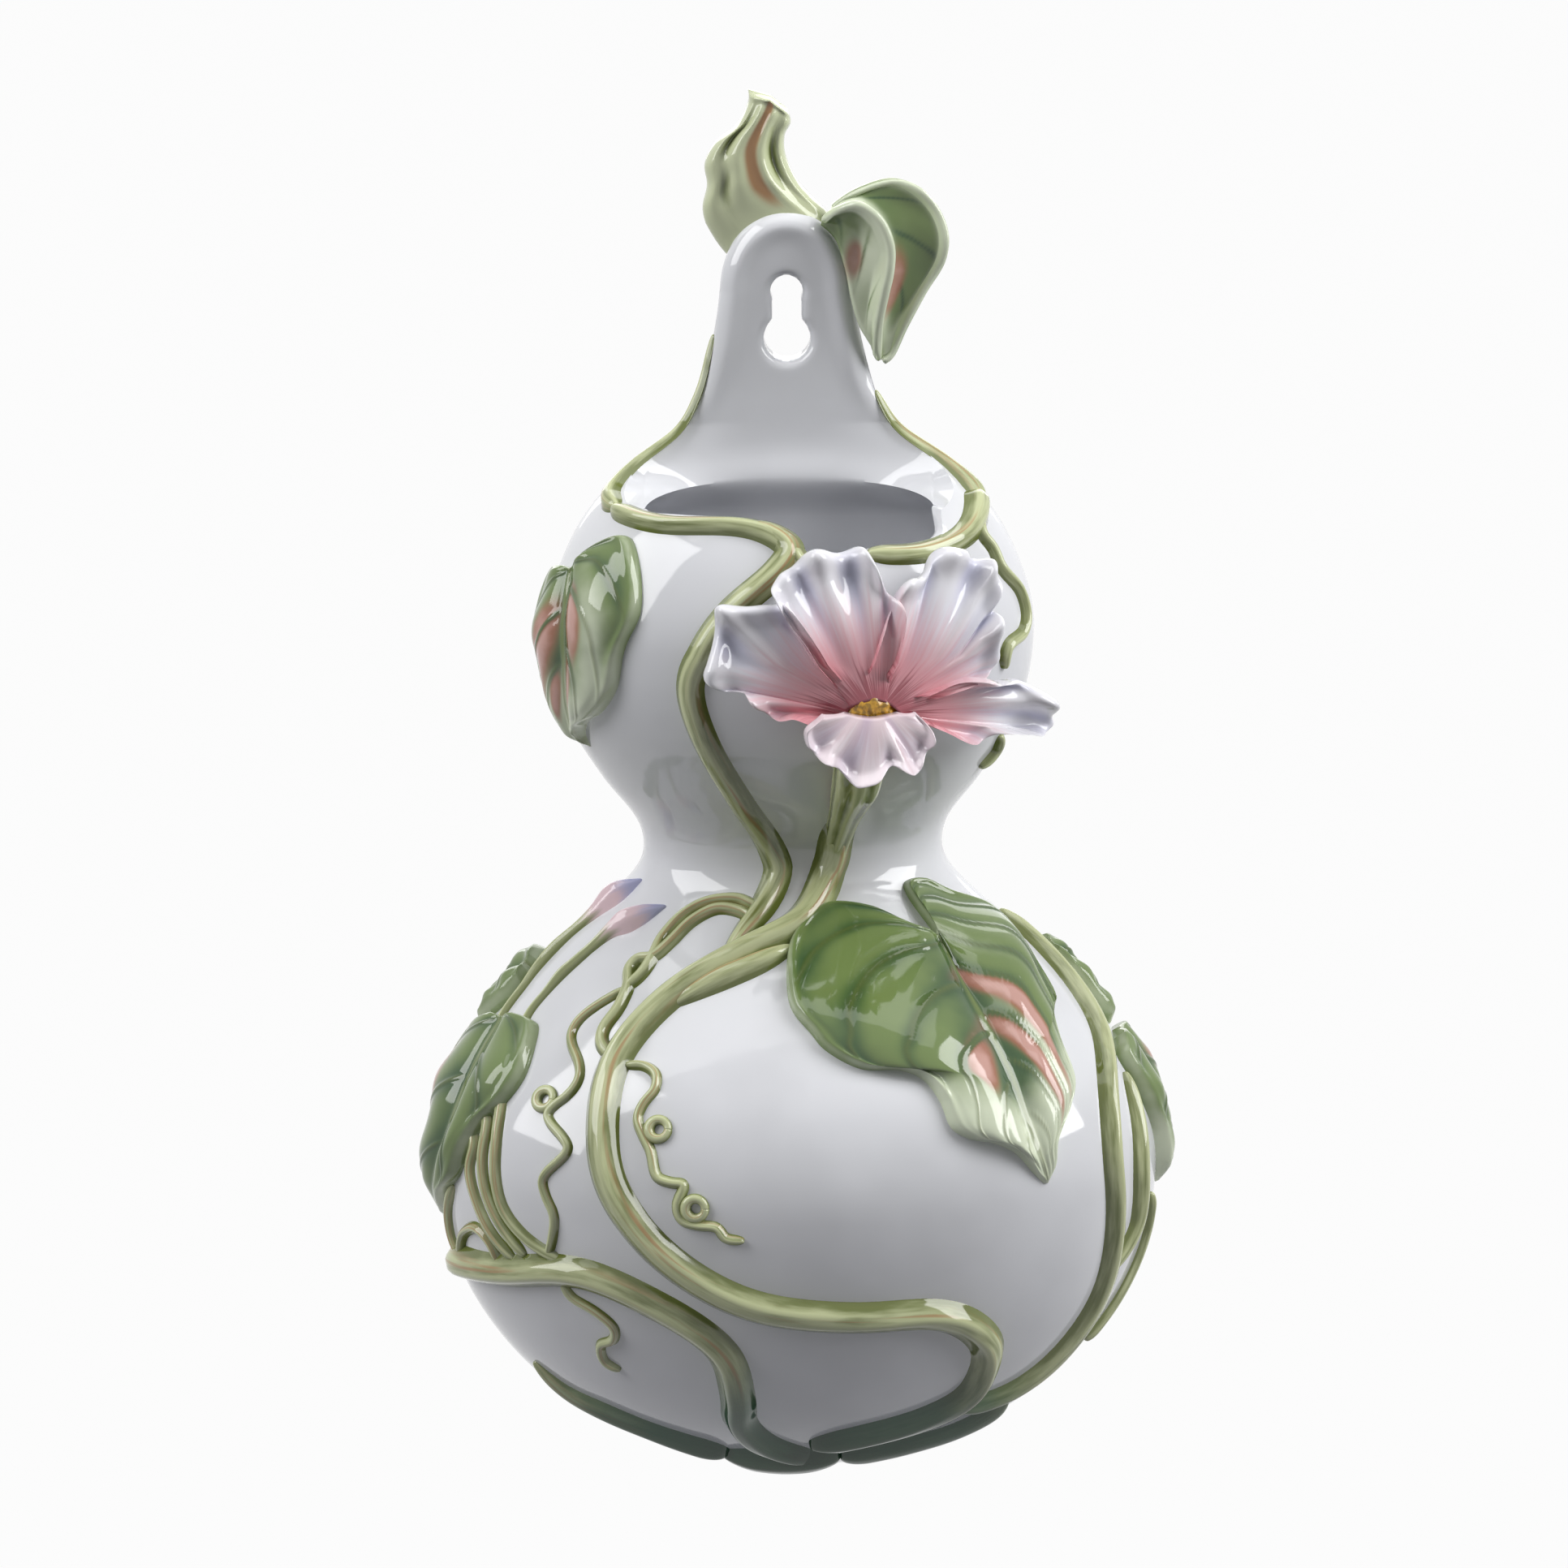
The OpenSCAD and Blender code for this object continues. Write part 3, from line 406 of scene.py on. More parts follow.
def body_skin(g):
    """One closed skin: up the outside, over the rim or the tab's crest, down the inside."""
    s = g.s
    cols = 300
    side = (np.arange(cols) + 0.5) / cols * 2 - 1
    t, sg = np.abs(side), np.sign(side)
    rim_z = g.level(RIM_Q)
    heights = np.concatenate([np.linspace(rim_z, 0, 300),
                              s.arch_h * np.sin(np.radians(np.linspace(0.5, 89.0, 160)))])
    crest = g.skin(scoop(g, heights), heights)
    step = np.linalg.norm(np.diff(crest, axis=0), axis=1) * np.where(heights[1:] > -12, 1.9, 1.0)
    run = np.concatenate([[0], np.cumsum(step)]) / step.sum()
    kappa = np.clip((t - TIP) / (1 - TIP), 0, 1)
    front = np.clip(t / TIP, 0, 1)
    crest_z = np.where(t < TIP, rim_level(g, TIP_OUT * side / TIP), np.interp(kappa, run, heights))

    def shell(z, first, corner, turn, b, off, start):
        """Section at height z: front arc, side arc and flat back, over the columns."""
        share = np.clip((t - start) / np.maximum(1 - start, 1e-6), 0, 1)
        ab = g.back_angle(z, b, off)
        a = np.where(t < TIP, first * front, corner + (ab - corner) * np.clip(share / turn, 0, 1))
        p = g.skin(a, z, off)
        e = g.skin(ab, z, off)
        flat = (t >= TIP) & (share > turn)
        x = np.where(flat, e[..., 0] * (1 - (share - turn) / (1 - turn)), p[..., 0])
        return np.stack([sg * x, np.where(flat, e[..., 1], p[..., 1]), z + 0 * x], -1)

    foot = g.lower_z - s.base_h * np.sin(np.radians(np.linspace(88, 0, 40)))
    upward = np.linspace(0, 1, 81)[1:, None]
    z_out = np.concatenate([np.repeat(foot[:, None], cols, 1),
                            g.lower_z + (crest_z - g.lower_z) * upward])
    start = TIP + (1 - TIP) * np.interp(z_out, heights, run)
    outer = shell(z_out, TIP_OUT, scoop(g, z_out), 0.5, s.plate_t, 0.0, start)

    c = outer[-1]
    hx = mouth_half(g) * np.cos(np.pi / 2 * kappa)
    inner_edge = g.skin(TIP_IN * front, crest_z, s.wall_t)
    w = (np.linspace(0, 1, 91)[1:, None]) ** 1.25
    x = np.abs(c[:, 0]) + (hx - np.abs(c[:, 0])) * w
    z = crest_z + (hole_edge(g, hx) - crest_z) * w
    face = np.stack([sg * x, -face_depth(g, x, z), z], -1)
    rise = 0.9 * np.sin(np.pi * w) ** 0.8 * (1 - smooth(t, 0.34, TIP))
    wall = np.abs(c) + (np.abs(inner_edge) - np.abs(c)) * w[..., None]
    rim = np.stack([sg * wall[..., 0], -wall[..., 1], crest_z + rise], -1)
    over = np.where((t < TIP)[None, :, None], rim, face)

    def inside(z):
        return shell(z, TIP_IN, TIP_IN, 0.4, s.plate_t + 3.0, s.wall_t, TIP)

    landing = inside(np.minimum(crest_z, rim_z)[None] - 7.0 + 0 * z[:1])[0]
    v = np.linspace(0, 1, 11)[1:, None]
    edge = over[-1]
    lip = np.stack([edge[:, 0] + (landing[:, 0] - edge[:, 0]) * v,
                    edge[:, 1] + (landing[:, 1] - edge[:, 1]) * smooth(v, 0, 1),
                    edge[:, 2] + (landing[:, 2] - edge[:, 2]) * v], -1)
    down = np.linspace(0, 1, 31)[1:, None]
    z_in = landing[:, 2] + (g.lower_z - landing[:, 2]) * down
    floor = g.lower_z - (s.base_h - s.wall_t) * np.sin(np.radians(np.linspace(5, 86, 16)))
    z_in = np.concatenate([z_in, np.repeat(floor[:, None], cols, 1)])
    return tube(np.concatenate([outer, over, lip, inside(z_in)]))


def plate_skin(g):
    """Back plate: outlines of the gourd cut by planes in front of the wall, with a rounded
    back edge. Half ellipses close each outline at the tab and at the foot."""
    s = g.s
    rings = []
    for b, inset in [(s.plate_t, 0), (4, 0), (3, 0), (2, 0), (1.3, 0.0), (0.9, 0.08), (0.5, 0.27),
                     (0.2, 0.6), (0.0, 1.2)]:
        ahead = 0.5 * g.k * g.neck_r - b
        top = np.sqrt(1 - (ahead / (g.k * g.neck_r)) ** 2)
        low = np.sqrt(1 - ((0.5 * g.k * g.lower_r - b) / (g.k * g.lower_r)) ** 2)
        arch = np.radians(np.linspace(90, 0, 30))
        z = np.linspace(0, g.lower_z, 170)[1:-1]
        w = g.half_w(z)
        x = np.sqrt(np.clip(w ** 2 - ((g.mid_y(z) + b) / g.k) ** 2, 0, None))
        foot = np.radians(np.linspace(0, 90, 44))
        xs = np.concatenate([g.neck_r * top * np.cos(arch), x, g.lower_r * low * np.cos(foot)])
        zs = np.concatenate([s.arch_h * top * np.sin(arch), z,
                             g.lower_z - s.base_h * low * np.sin(foot)])
        line = np.stack([np.concatenate([xs, -xs[-2:0:-1]]),
                         np.concatenate([zs, zs[-2:0:-1]])], -1)
        tangent = unit(np.roll(line, -1, 0) - np.roll(line, 1, 0))
        line = line + inset * np.stack([tangent[:, 1], -tangent[:, 0]], -1)
        rings.append(np.stack([line[:, 0], np.full(len(line), -b), line[:, 1]], -1))
    grid = np.array(rings)
    n, m = grid.shape[:2]
    ends = [np.arange(m)[None, ::-1], (n - 1) * m + np.arange(m)[None]]
    return outward(grid.reshape(-1, 3), [ring_faces(n, m)] + ends, {})


def cut_keyhole(obj, g):
    """Cuts the keyhole through a piece from front to back."""
    line = key_outline(g)
    n = len(line)
    points = np.concatenate([np.stack([line[:, 0], np.full(n, y), line[:, 1]], -1)
                             for y in (-60.0, 5.0)])
    mesh = bpy.data.meshes.new("Keyhole")
    faces = ring_faces(2, n).tolist() + [list(range(n))[::-1], list(range(n, 2 * n))]
    mesh.from_pydata((points * MM).tolist(), [], faces)
    tool = bpy.data.objects.new("Keyhole", mesh)
    bpy.context.scene.collection.objects.link(tool)
    cut = obj.modifiers.new("Keyhole", "BOOLEAN")
    cut.operation, cut.solver, cut.object = "DIFFERENCE", "EXACT", tool
    done = obj.evaluated_get(bpy.context.evaluated_depsgraph_get())
    new = bpy.data.meshes.new_from_object(done)
    obj.modifiers.clear()
    obj.data = new
    new.name = obj.name
    new.polygons.foreach_set("use_smooth", np.ones(len(new.polygons), bool))
    new.set_sharp_from_angle(angle=np.radians(40))
    bpy.data.objects.remove(tool)


# Relief pieces laid on the skin. Lengths are in millimetres.

LET_IN = 0.6
VINE_STEPS, VINE_COLUMNS = 18, 19
LEAF_ROWS, LEAF_COLUMNS, LEAF_WAVES = 210, 131, 3.0
PETAL_ROWS, PETAL_COLUMNS = 64, 150
FULL_PETAL = 30.0


def strand(g, route, width, tall, tip=0.3, groove=0.05, roll=0.0):
    """Vine on the skin: height = width tall (1 - |t|^2.2)^1.25 over t across, so that it melts
    into the body. A cosine of t cuts shallow grooves along it, the ends narrow as a quarter
    circle to the share tip, and a flat underside is let in. The route is a running mean, with
    cosine weights, of the curve through its points."""
    path = np.array([tuple(p) + (1.0,) * (3 - len(p)) for p in route])
    n = VINE_STEPS * (len(path) - 1) + 1
    weights = np.hanning(VINE_STEPS)
    before = VINE_STEPS // 2
    p = np.pad(along(path, np.linspace(0, 1, n)),
               ((before, VINE_STEPS - 1 - before), (0, 0)), "edge")
    p = np.stack([np.convolve(c, weights / weights.sum(), "valid") for c in p.T], 1)
    mid = g.lifted(p[:, 0], p[:, 1], np.zeros(n))
    up = g.out_dir(p[:, 0], g.level(p[:, 1]))
    side = unit(np.cross(unit(np.gradient(mid, axis=0)), up))
    run = np.concatenate([[0], np.cumsum(np.linalg.norm(np.diff(mid, axis=0), axis=1))])
    near = np.clip(np.minimum(run, run[-1] - run) / width, 0, 1)
    ws = width * p[:, 2] * (tip + (1 - tip) * np.sqrt(1 - (1 - near) ** 2))
    t = np.concatenate([np.sin(np.linspace(-np.pi / 2, np.pi / 2, VINE_COLUMNS)),
                        [0.6, 0.0, -0.6]])
    top = np.arange(len(t)) < VINE_COLUMNS
    ridge = (1 - np.minimum(np.abs(t), 1) ** 2.2) ** 1.25
    line = np.cos(2.6 * np.pi * t[None] + roll + 0.03 * run[:, None] * np.sin(run / 37)[:, None])
    high = ws[:, None] * tall * ridge * (1 + groove * line * (1 - t ** 2))
    high = np.where(top, high - 0.35 * (1 - ridge), -LET_IN)
    grid = (mid[:, None] + side[:, None] * (ws[:, None] / 2 * t * np.where(top, 1, 0.9))[..., None]
            + up[:, None] * high[..., None])
    marks = {"across": np.where(top, t, 0) + 0 * ws[:, None], "run": run[:, None] + 0 * t,
             "thin": np.where(top, ridge, 0) * (0.8 + 0.2 * line),
             "end": (run / run[-1])[:, None] + 0 * t}
    return tube(grid, marks)


def leaf(g, left, middle, right, thick, swell, veins, sweep, pale, blush, light=(),
         right_sweep=1.3):
    """Leaf on the skin, with u along its middle rib and s from -1 to 1 across it. A side vein
    runs where veins (u - slope |s|^1.15) is a whole number. The height is the margin's
    thickness, a swell of sin(pi |s|^0.85) on each side, pillows of |sin| between the side
    veins, a hollow along the middle rib, bell-shaped ribs on all veins, a rolled margin and
    slow waves that grow with |s|. A patch of blush or light is its place in u and s, its reach
    in u and s and its strength, and slants along the side veins."""
    rows, cols = LEAF_ROWS, LEAF_COLUMNS
    u = np.linspace(0, 1, rows)[:, None] + np.zeros((1, cols))
    s = np.sin(np.linspace(-1, 1, cols) * np.pi / 2)[None] + np.zeros((rows, 1))
    a, b = along(middle, u), np.where((s < 0)[..., None], along(left, u), along(right, u))
    p = a + (b - a) * np.abs(s)[..., None]
    flat = g.lifted(p[..., 0], p[..., 1], np.zeros_like(u))
    rib_line = g.lifted(a[..., 0], a[..., 1], np.zeros_like(u))
    rim_line = g.lifted(b[..., 0], b[..., 1], np.zeros_like(u))
    width = np.linalg.norm(rim_line - rib_line, axis=-1)
    total = np.linalg.norm(np.diff(flat[:, cols // 2], axis=0), axis=-1).sum()
    off = np.abs(s) * width
    gap = np.minimum((1 - np.abs(s)) * width, np.minimum(u, 1 - u) * total * 1.3)
    lead = np.where(s < 0, 0.0, 0.45)
    slope = sweep * np.where(s < 0, 1.0, right_sweep)
    c = veins * (u - slope * np.abs(s) ** 1.15) + lead
    d = np.abs(c - np.round(c)) / veins * total
    inner = smooth(gap, 1.0, 5.0)
    side_vein = bump(d, 0, 0.75) * inner * smooth(off, 0.5, 3)
    rib = bump(off, 0, 0.8) * smooth(1 - u, 0.0, 0.05)
    pillow = np.abs(np.sin(np.pi * c)) ** 0.7 * np.sin(np.pi * np.clip(np.abs(s), 0, 1)) ** 0.7
    high = (thick + swell * np.sin(np.pi * np.abs(s) ** 0.85) * np.sin(np.pi * (0.12 + 0.8 * u))
            + 0.5 * pillow * inner * swell / 2 - 0.8 * bump(off, 0, 3.2) + 0.9 * rib
            + 0.45 * side_vein + 0.55 * bump(gap, 1.9, 1.3)
            + 0.35 * swell * np.abs(s) * inner
            * np.sin(2 * np.pi * LEAF_WAVES * u + np.where(s < 0, 0, 1.6)))
    edge = np.sqrt(1 - (1 - np.clip(gap / (0.8 * thick), 0, 1)) ** 2)
    high = np.maximum(high, 0.6) * edge * (0.3 + 0.7 * smooth(1 - u, 0, 0.16)) - 0.3 * (1 - edge)
    spots = [sum((w * np.exp(-((u - slope * np.abs(s) - pu) / ru) ** 2 - ((s - ps) / rs) ** 2)
                  for pu, ps, ru, rs, w in group), np.zeros_like(u)) for group in (blush, light)]
    marks = {"vein": np.clip(rib + side_vein, 0, 1),
             "pale": np.clip(smooth(u, *pale) + spots[1] + 0.5 * bump(gap, 0.8, 1.3), 0, 1),
             "blush": spots[0] * (1 - 0.85 * np.clip(rib + 1.3 * side_vein, 0, 1)),
             "pool": np.clip(1 - pillow * 1.2, 0, 1) * inner * (1 - np.clip(rib, 0, 1))}
    return slab(g.lifted(p[..., 0], p[..., 1], high),
                g.lifted(p[..., 0], p[..., 1], np.full_like(high, -LET_IN)), marks)


def rounded(gap, thick, least):
    """Share of a sheet's thickness near its edge: a quarter circle over 0.6 of the thickness,
    from least at the edge to 1."""
    reach = np.clip(gap / (0.6 * thick), 0, 1)
    return least + (1 - least) * np.sqrt(1 - (1 - reach) ** 2)


def petal(g, root, margin, thick, ruffle, waves, pleats, phase, cup=1.6, blush=1.0):
    """Petal fanned from a root to a free margin, with u outwards and v round it. Its lift is
    hollowed by cup sin(pi u^0.8), waves with u^3.2 times a sine of waves turns, is pleated by
    a sine of pleats turns and rolls up near the margin, where it is thickest."""
    rows, cols = PETAL_ROWS, PETAL_COLUMNS
    u = (np.linspace(0, 1, rows) ** 0.9)[:, None] + np.zeros((1, cols))
    v = np.linspace(0, 1, cols)[None] + np.zeros((rows, 1))
    turn = 2 * np.pi * waves * v + phase
    wave = np.sin(turn + 0.5 * np.sin(turn)) + 0.35 * np.sin(1.7 * turn + phase)
    a, b = along(root, v), along(margin, v)
    p = a + (b - a) * (u * (1 + 0.02 * u * np.sin(turn + 1)))[..., None]
    crease = np.sin(2 * np.pi * pleats * v + 1.5 * np.sin(2 * np.pi * v + phase))
    fold = u * np.clip(1.15 - u, 0, 1) ** 0.5
    wide = np.sin(np.pi * np.clip(v, 0.0, 1.0)) ** 0.5
    lift = (p[..., 2] - cup * np.sin(np.pi * u ** 0.8) + ruffle * u ** 3.2 * wave * wide
            + 0.5 * crease * fold * wide + 1.8 * bump(u, 0.93, 0.07) * wide)
    span = np.linalg.norm(g.lifted(b[..., 0], b[..., 1], b[..., 2])
                          - g.lifted(a[..., 0], a[..., 1], a[..., 2]), axis=-1)
    girth = np.linalg.norm(np.diff(g.lifted(p[..., 0], p[..., 1], p[..., 2]), axis=1),
                           axis=-1).sum(1, keepdims=True)
    gap = np.minimum((1 - u) * span, np.minimum(v, 1 - v) * girth)
    half = thick / 2 * (1 + 0.9 * bump(u, 0.94, 0.07)) * rounded(gap, thick, 0.12)
    hollow = np.clip(0.5 - 0.33 * (1.2 * wave * u ** 2.4 + 0.6 * crease * (1 - 0.6 * u)), 0, 1)
    marks = {"radial": u * span / FULL_PETAL, "fan": v * girth[-1] / FULL_PETAL,
             "hollow": hollow, "edge": bump(gap, 0.8, 2.8), "blush": blush + 0 * u}
    return slab(g.lifted(p[..., 0], p[..., 1], lift + half),
                g.lifted(p[..., 0], p[..., 1], lift - half), marks)


def stalk(g, line, n, m, ribs=0.0):
    """Round piece along a free line of [angle, level, lift, radius], whose radius at the turn
    phi is multiplied by 1 + ribs cos(7 phi)."""
    p = along(line, np.linspace(0, 1, n))
    mid = g.lifted(p[:, 0], p[:, 1], p[:, 2])
    fwd = unit(np.gradient(mid, axis=0))
    a = unit(np.cross(fwd, [1.0, 0, 0]))
    b = np.cross(fwd, a)
    phi = np.linspace(0, 2 * np.pi, m, endpoint=False)
    r = p[:, 3:4] * (1 + ribs * np.cos(7 * phi))
    grid = (mid[:, None] + a[:, None] * (r * np.cos(phi))[..., None]
            + b[:, None] * (r * np.sin(phi))[..., None])
    run = np.concatenate([[0], np.cumsum(np.linalg.norm(np.diff(mid, axis=0), axis=1))])
    return tube(grid, {"across": np.cos(phi) + 0 * r, "run": run[:, None] + 0 * phi,
                       "thin": 0.6 + 0.4 * np.cos(7 * phi) + 0 * r})


def sheet_between(first, last, thick, depth, marks, n=70):
    """Free sheet between two curves of [x, y, z]: u runs along the curves and v in straight
    lines across, depth(u, v) is added towards the viewer and the edges are rounded."""
    v, u = np.meshgrid(np.linspace(0, 1, n), np.linspace(0, 1, n))
    p = along(first, u) * (1 - v[..., None]) + along(last, u) * v[..., None]
    p[..., 1] -= depth(u, v)
    normal = unit(np.cross(np.gradient(p, axis=1), np.gradient(p, axis=0)))
    normal *= np.where(normal[..., 1:2].mean() > 0, -1, 1)
    width = np.linalg.norm(np.diff(p, axis=1), axis=-1).sum(1)[:, None]
    tall = np.linalg.norm(np.diff(p, axis=0), axis=-1).sum(0)[None]
    gap = np.minimum(np.minimum(v, 1 - v) * width, np.minimum(u, 1 - u) * tall)
    half = (thick / 2 * rounded(gap, thick, 0.1))[..., None]
    return slab(p + normal * half, p - normal * half, marks(u, v, gap))


# Materials

def add(tree, kind, inputs=(), **settings):
    """Shader node of a kind with its settings; an input is a value or another node's socket."""
    node = tree.nodes.new("ShaderNode" + kind)
    for key, value in settings.items():
        setattr(node, key, value)
    for key, value in dict(inputs).items():
        if isinstance(value, bpy.types.NodeSocket):
            tree.links.new(value, node.inputs[key])
        else:
            node.inputs[key].default_value = value
    return node


def blend(tree, factor, a, b):
    """Colour between a and b by a factor."""
    return add(tree, "Mix", {0: factor, 6: a, 7: b}, data_type="RGBA").outputs[2]


def mark(tree, name):
    """A mesh attribute's value."""
    return add(tree, "Attribute", attribute_name=name).outputs["Fac"]


def remap(tree, value, low, high, out_low=0.0, out_high=1.0):
    """A value carried from one span to another by a smooth step and held at its ends."""
    return add(tree, "MapRange", {0: value, 1: low, 2: high, 3: out_low, 4: out_high},
               interpolation_type="SMOOTHSTEP").outputs[0]


def maths(tree, kind, a, b=0.0):
    """Two values combined."""
    return add(tree, "Math", {0: a, 1: b}, operation=kind).outputs[0]


def drift(tree, value, noise, amount, middle=0.5):
    """A value moved by a noise: value + amount (noise - middle)."""
    return maths(tree, "ADD", value, maths(
        tree, "MULTIPLY", maths(tree, "SUBTRACT", noise, middle), amount))


def strokes(tree, x, y, wide, long, detail=3.0):
    """Noise drawn out into strokes: x is divided by their width and y by their length, both
    in the units of x and y."""
    place = add(tree, "CombineXYZ", {0: maths(tree, "DIVIDE", x, wide),
                                     1: maths(tree, "DIVIDE", y, long)}).outputs[0]
    return add(tree, "TexNoise", {"Vector": place, "Scale": 1.0, "Detail": detail}).outputs[0]


def cloud(tree, size, detail=2.0):
    """Noise of lumps of a size in millimetres over the object."""
    place = add(tree, "TexCoord").outputs["Object"]
    return add(tree, "TexNoise", {"Vector": place, "Scale": 1.0 / (size * MM),
                                  "Detail": detail}).outputs[0]


def height(tree):
    """Height above the keyhole in mm."""
    place = add(tree, "SeparateXYZ", {0: add(tree, "TexCoord").outputs["Object"]})
    return maths(tree, "DIVIDE", place.outputs["Z"], MM)


def sideways(tree):
    """Distance from the middle plane in mm."""
    place = add(tree, "SeparateXYZ", {0: add(tree, "TexCoord").outputs["Object"]})
    return maths(tree, "ABSOLUTE", maths(tree, "DIVIDE", place.outputs["X"], MM))


def fired(name, paint, roughness=0.07, waviness=0.25):
    """Glazed porcelain. Under the clear glaze lie a white body and painted colour; the fired
    glaze is a smooth glass, so highlights are sharp and wander a little with its thickness."""
    mat = bpy.data.materials.new(name)
    mat.use_nodes = True
    tree = mat.node_tree
    shader = tree.nodes["Principled BSDF"]
    shader.inputs["Roughness"].default_value = roughness
    shader.inputs["IOR"].default_value = 1.5
    shader.inputs["Coat Weight"].default_value = 0.15
    shader.inputs["Coat Roughness"].default_value = 0.03
    base = paint(tree)
    if isinstance(base, bpy.types.NodeSocket):
        tree.links.new(base, shader.inputs["Base Color"])
    else:
        shader.inputs["Base Color"].default_value = base
    wave = add(tree, "Bump", {"Height": cloud(tree, 9.0, 1.0), "Strength": waviness,
                              "Distance": 0.0006})
    tree.links.new(wave.outputs[0], shader.inputs["Normal"])
    return mat


def white_porcelain():
    """White porcelain under clear glaze: nearly even, a little greyer where the glaze is thin."""
    def paint(tree):
        grey = tuple(0.93 * c for c in tint("white")[:3]) + (1.0,)
        return blend(tree, remap(tree, cloud(tree, 30.0), 0.4, 0.7), tint("white"), grey)
    return fired("White glazed porcelain", paint, waviness=0.12)


# Heights in mm where the vines' dark green near the foot starts and where it is full: partly the
# glaze's colour, partly painted shade of the underside.
FOOT_GREEN_AND_SHADE_STARTS, FOOT_GREEN_AND_SHADE_FULL = -232.0, -262.0


def vine_glaze():
    """Green underglaze brushed along the vine: pale where it broke over the ridge, olive where it
    pooled at the sides, with thin brown strokes, and a dark green near the foot that is partly
    the glaze's colour and partly painted shade of the underside."""
    def paint(tree):
        across, run = mark(tree, "across"), mark(tree, "run")
        thin = drift(tree, mark(tree, "thin"), strokes(tree, across, run, 0.30, 16.0), 1.3)
        mixed = drift(tree, thin, cloud(tree, 16.0), 0.9, 0.45)
        base = blend(tree, remap(tree, mixed, 0.15, 0.95), tint("vine_deep"), tint("vine_pale"))
        brown = strokes(tree, across, run, 0.30, 40.0, 2.0)
        side = remap(tree, maths(tree, "ABSOLUTE", maths(tree, "ADD", across, 0.35)), 0.5, 0.1)
        base = blend(tree, maths(tree, "MULTIPLY", remap(tree, brown, 0.52, 0.66),
                                 maths(tree, "MULTIPLY", side, 0.75)), base, tint("vine_brown"))
        # Painted shade with the glaze's dark green: the vines turn foot green by height towards the
        # foot.
        low = maths(tree, "ADD", height(tree), maths(tree, "MULTIPLY", cloud(tree, 22.0), 26.0))
        low = maths(tree, "ADD", low, maths(tree, "MULTIPLY", sideways(tree), 0.35))
        return blend(tree, remap(tree, low, FOOT_GREEN_AND_SHADE_STARTS, FOOT_GREEN_AND_SHADE_FULL, 0.0, 0.92), base, tint("teal"))
    return fired("Green glazed porcelain vine", paint)


def leaf_glaze():
    """Green underglaze on leaves: deep where it pooled along the veins, lighter on the pillows
    between them, pale on the margin and the tip, with pink patches edged in red brown."""
    def paint(tree):
        pool = drift(tree, mark(tree, "pool"), cloud(tree, 14.0), 1.0, 0.55)
        base = blend(tree, remap(tree, pool, -0.1, 0.9), tint("leaf_mid"), tint("leaf_deep"))
        pale = drift(tree, mark(tree, "pale"), cloud(tree, 9.0), 0.5)
        base = blend(tree, remap(tree, pale, 0.15, 0.95), base, tint("leaf_pale"))
        spot = mark(tree, "blush")
        base = blend(tree, remap(tree, spot, 0.15, 0.75, 0.0, 0.8), base, tint("rust"))
        base = blend(tree, remap(tree, drift(tree, spot, cloud(tree, 6.0), 1.0), 0.55, 1.30,
                                 0.0, 0.9), base, tint("blush"))
        return blend(tree, maths(tree, "MULTIPLY", mark(tree, "vein"), 0.5), base,
                     tint("vine_deep"))
    return fired("Green glazed porcelain leaf", paint)


def stub_glaze():
    """Stem stub: pale green on the ribs, olive in the hollows and one orange brown stroke."""
    def paint(tree):
        fine = strokes(tree, mark(tree, "across"), mark(tree, "run"), 0.2, 16.0)
        thin = drift(tree, mark(tree, "thin"), fine, 0.7)
        pale = tuple(0.65 * a + 0.35 * b for a, b in zip(tint("vine_pale"), tint("leaf_pale")))
        base = blend(tree, remap(tree, thin, -0.1, 0.6), tint("vine_deep"), pale)
        return blend(tree, remap(tree, mark(tree, "stripe"), 0.1, 0.8), base,
                     tint("vine_brown"))
    return fired("Green glazed porcelain stem", paint)


def bud_glaze():
    """Bud: green stalk, pink body and a lavender tip, brushed along the bud."""
    def paint(tree):
        fine = strokes(tree, mark(tree, "across"), mark(tree, "run"), 0.3, 12.0)
        end = drift(tree, mark(tree, "end"), fine, 0.16)
        green = blend(tree, remap(tree, mark(tree, "thin"), 0.2, 1.0), tint("vine_deep"),
                      tint("vine_pale"))
        rose = tuple(0.5 * (a + b) for a, b in zip(tint("petal_pink"), tint("petal_white")))
        pink = blend(tree, remap(tree, end, 0.64, 0.76), green, rose)
        return blend(tree, remap(tree, end, 0.84, 0.97), pink, tint("petal_blue"))
    return fired("Pink glazed porcelain bud", paint)


def petal_glaze():
    """Petals: near white ridges, lavender pooled in the hollows, pink towards the middle and
    maroon strokes running out of the throat."""
    def paint(tree):
        radial, fan = mark(tree, "radial"), mark(tree, "fan")
        line = strokes(tree, fan, radial, 0.07, 0.7)
        base = blend(tree, maths(tree, "MULTIPLY", remap(tree, mark(tree, "hollow"), 0.35, 1.0),
                                 0.85), tint("petal_white"), tint("petal_blue"))
        base = blend(tree, maths(tree, "MULTIPLY", mark(tree, "edge"), 0.8), base,
                     tint("petal_white"))
        pink = remap(tree, drift(tree, radial, line, 0.42), 1.08, 0.34)
        deep = remap(tree, drift(tree, radial, line, 0.9), 0.40, 0.06)
        for share, name in ((pink, "petal_pink"), (deep, "petal_maroon")):
            share = maths(tree, "MULTIPLY", share, mark(tree, "blush"))
            base = blend(tree, share, base, tint(name))
        return base
    return fired("Lavender and pink glazed porcelain petal", paint)


def disc_glaze():
    """Flower centre: yellow dabs with ochre between them."""
    def paint(tree):
        dark = tuple(0.45 * c for c in tint("yellow")[:3]) + (1.0,)
        return blend(tree, remap(tree, cloud(tree, 1.3), 0.35, 0.6), dark, tint("yellow"))
    return fired("Yellow glazed porcelain", paint, roughness=0.2)


# Routes of the relief, as [angle, level]. A vine is the name of its width, a share of it and
# one or more routes, and a tendril is a share and its routes; a third number in a point is a
# share of the width there. A petal's points hold a lift instead.

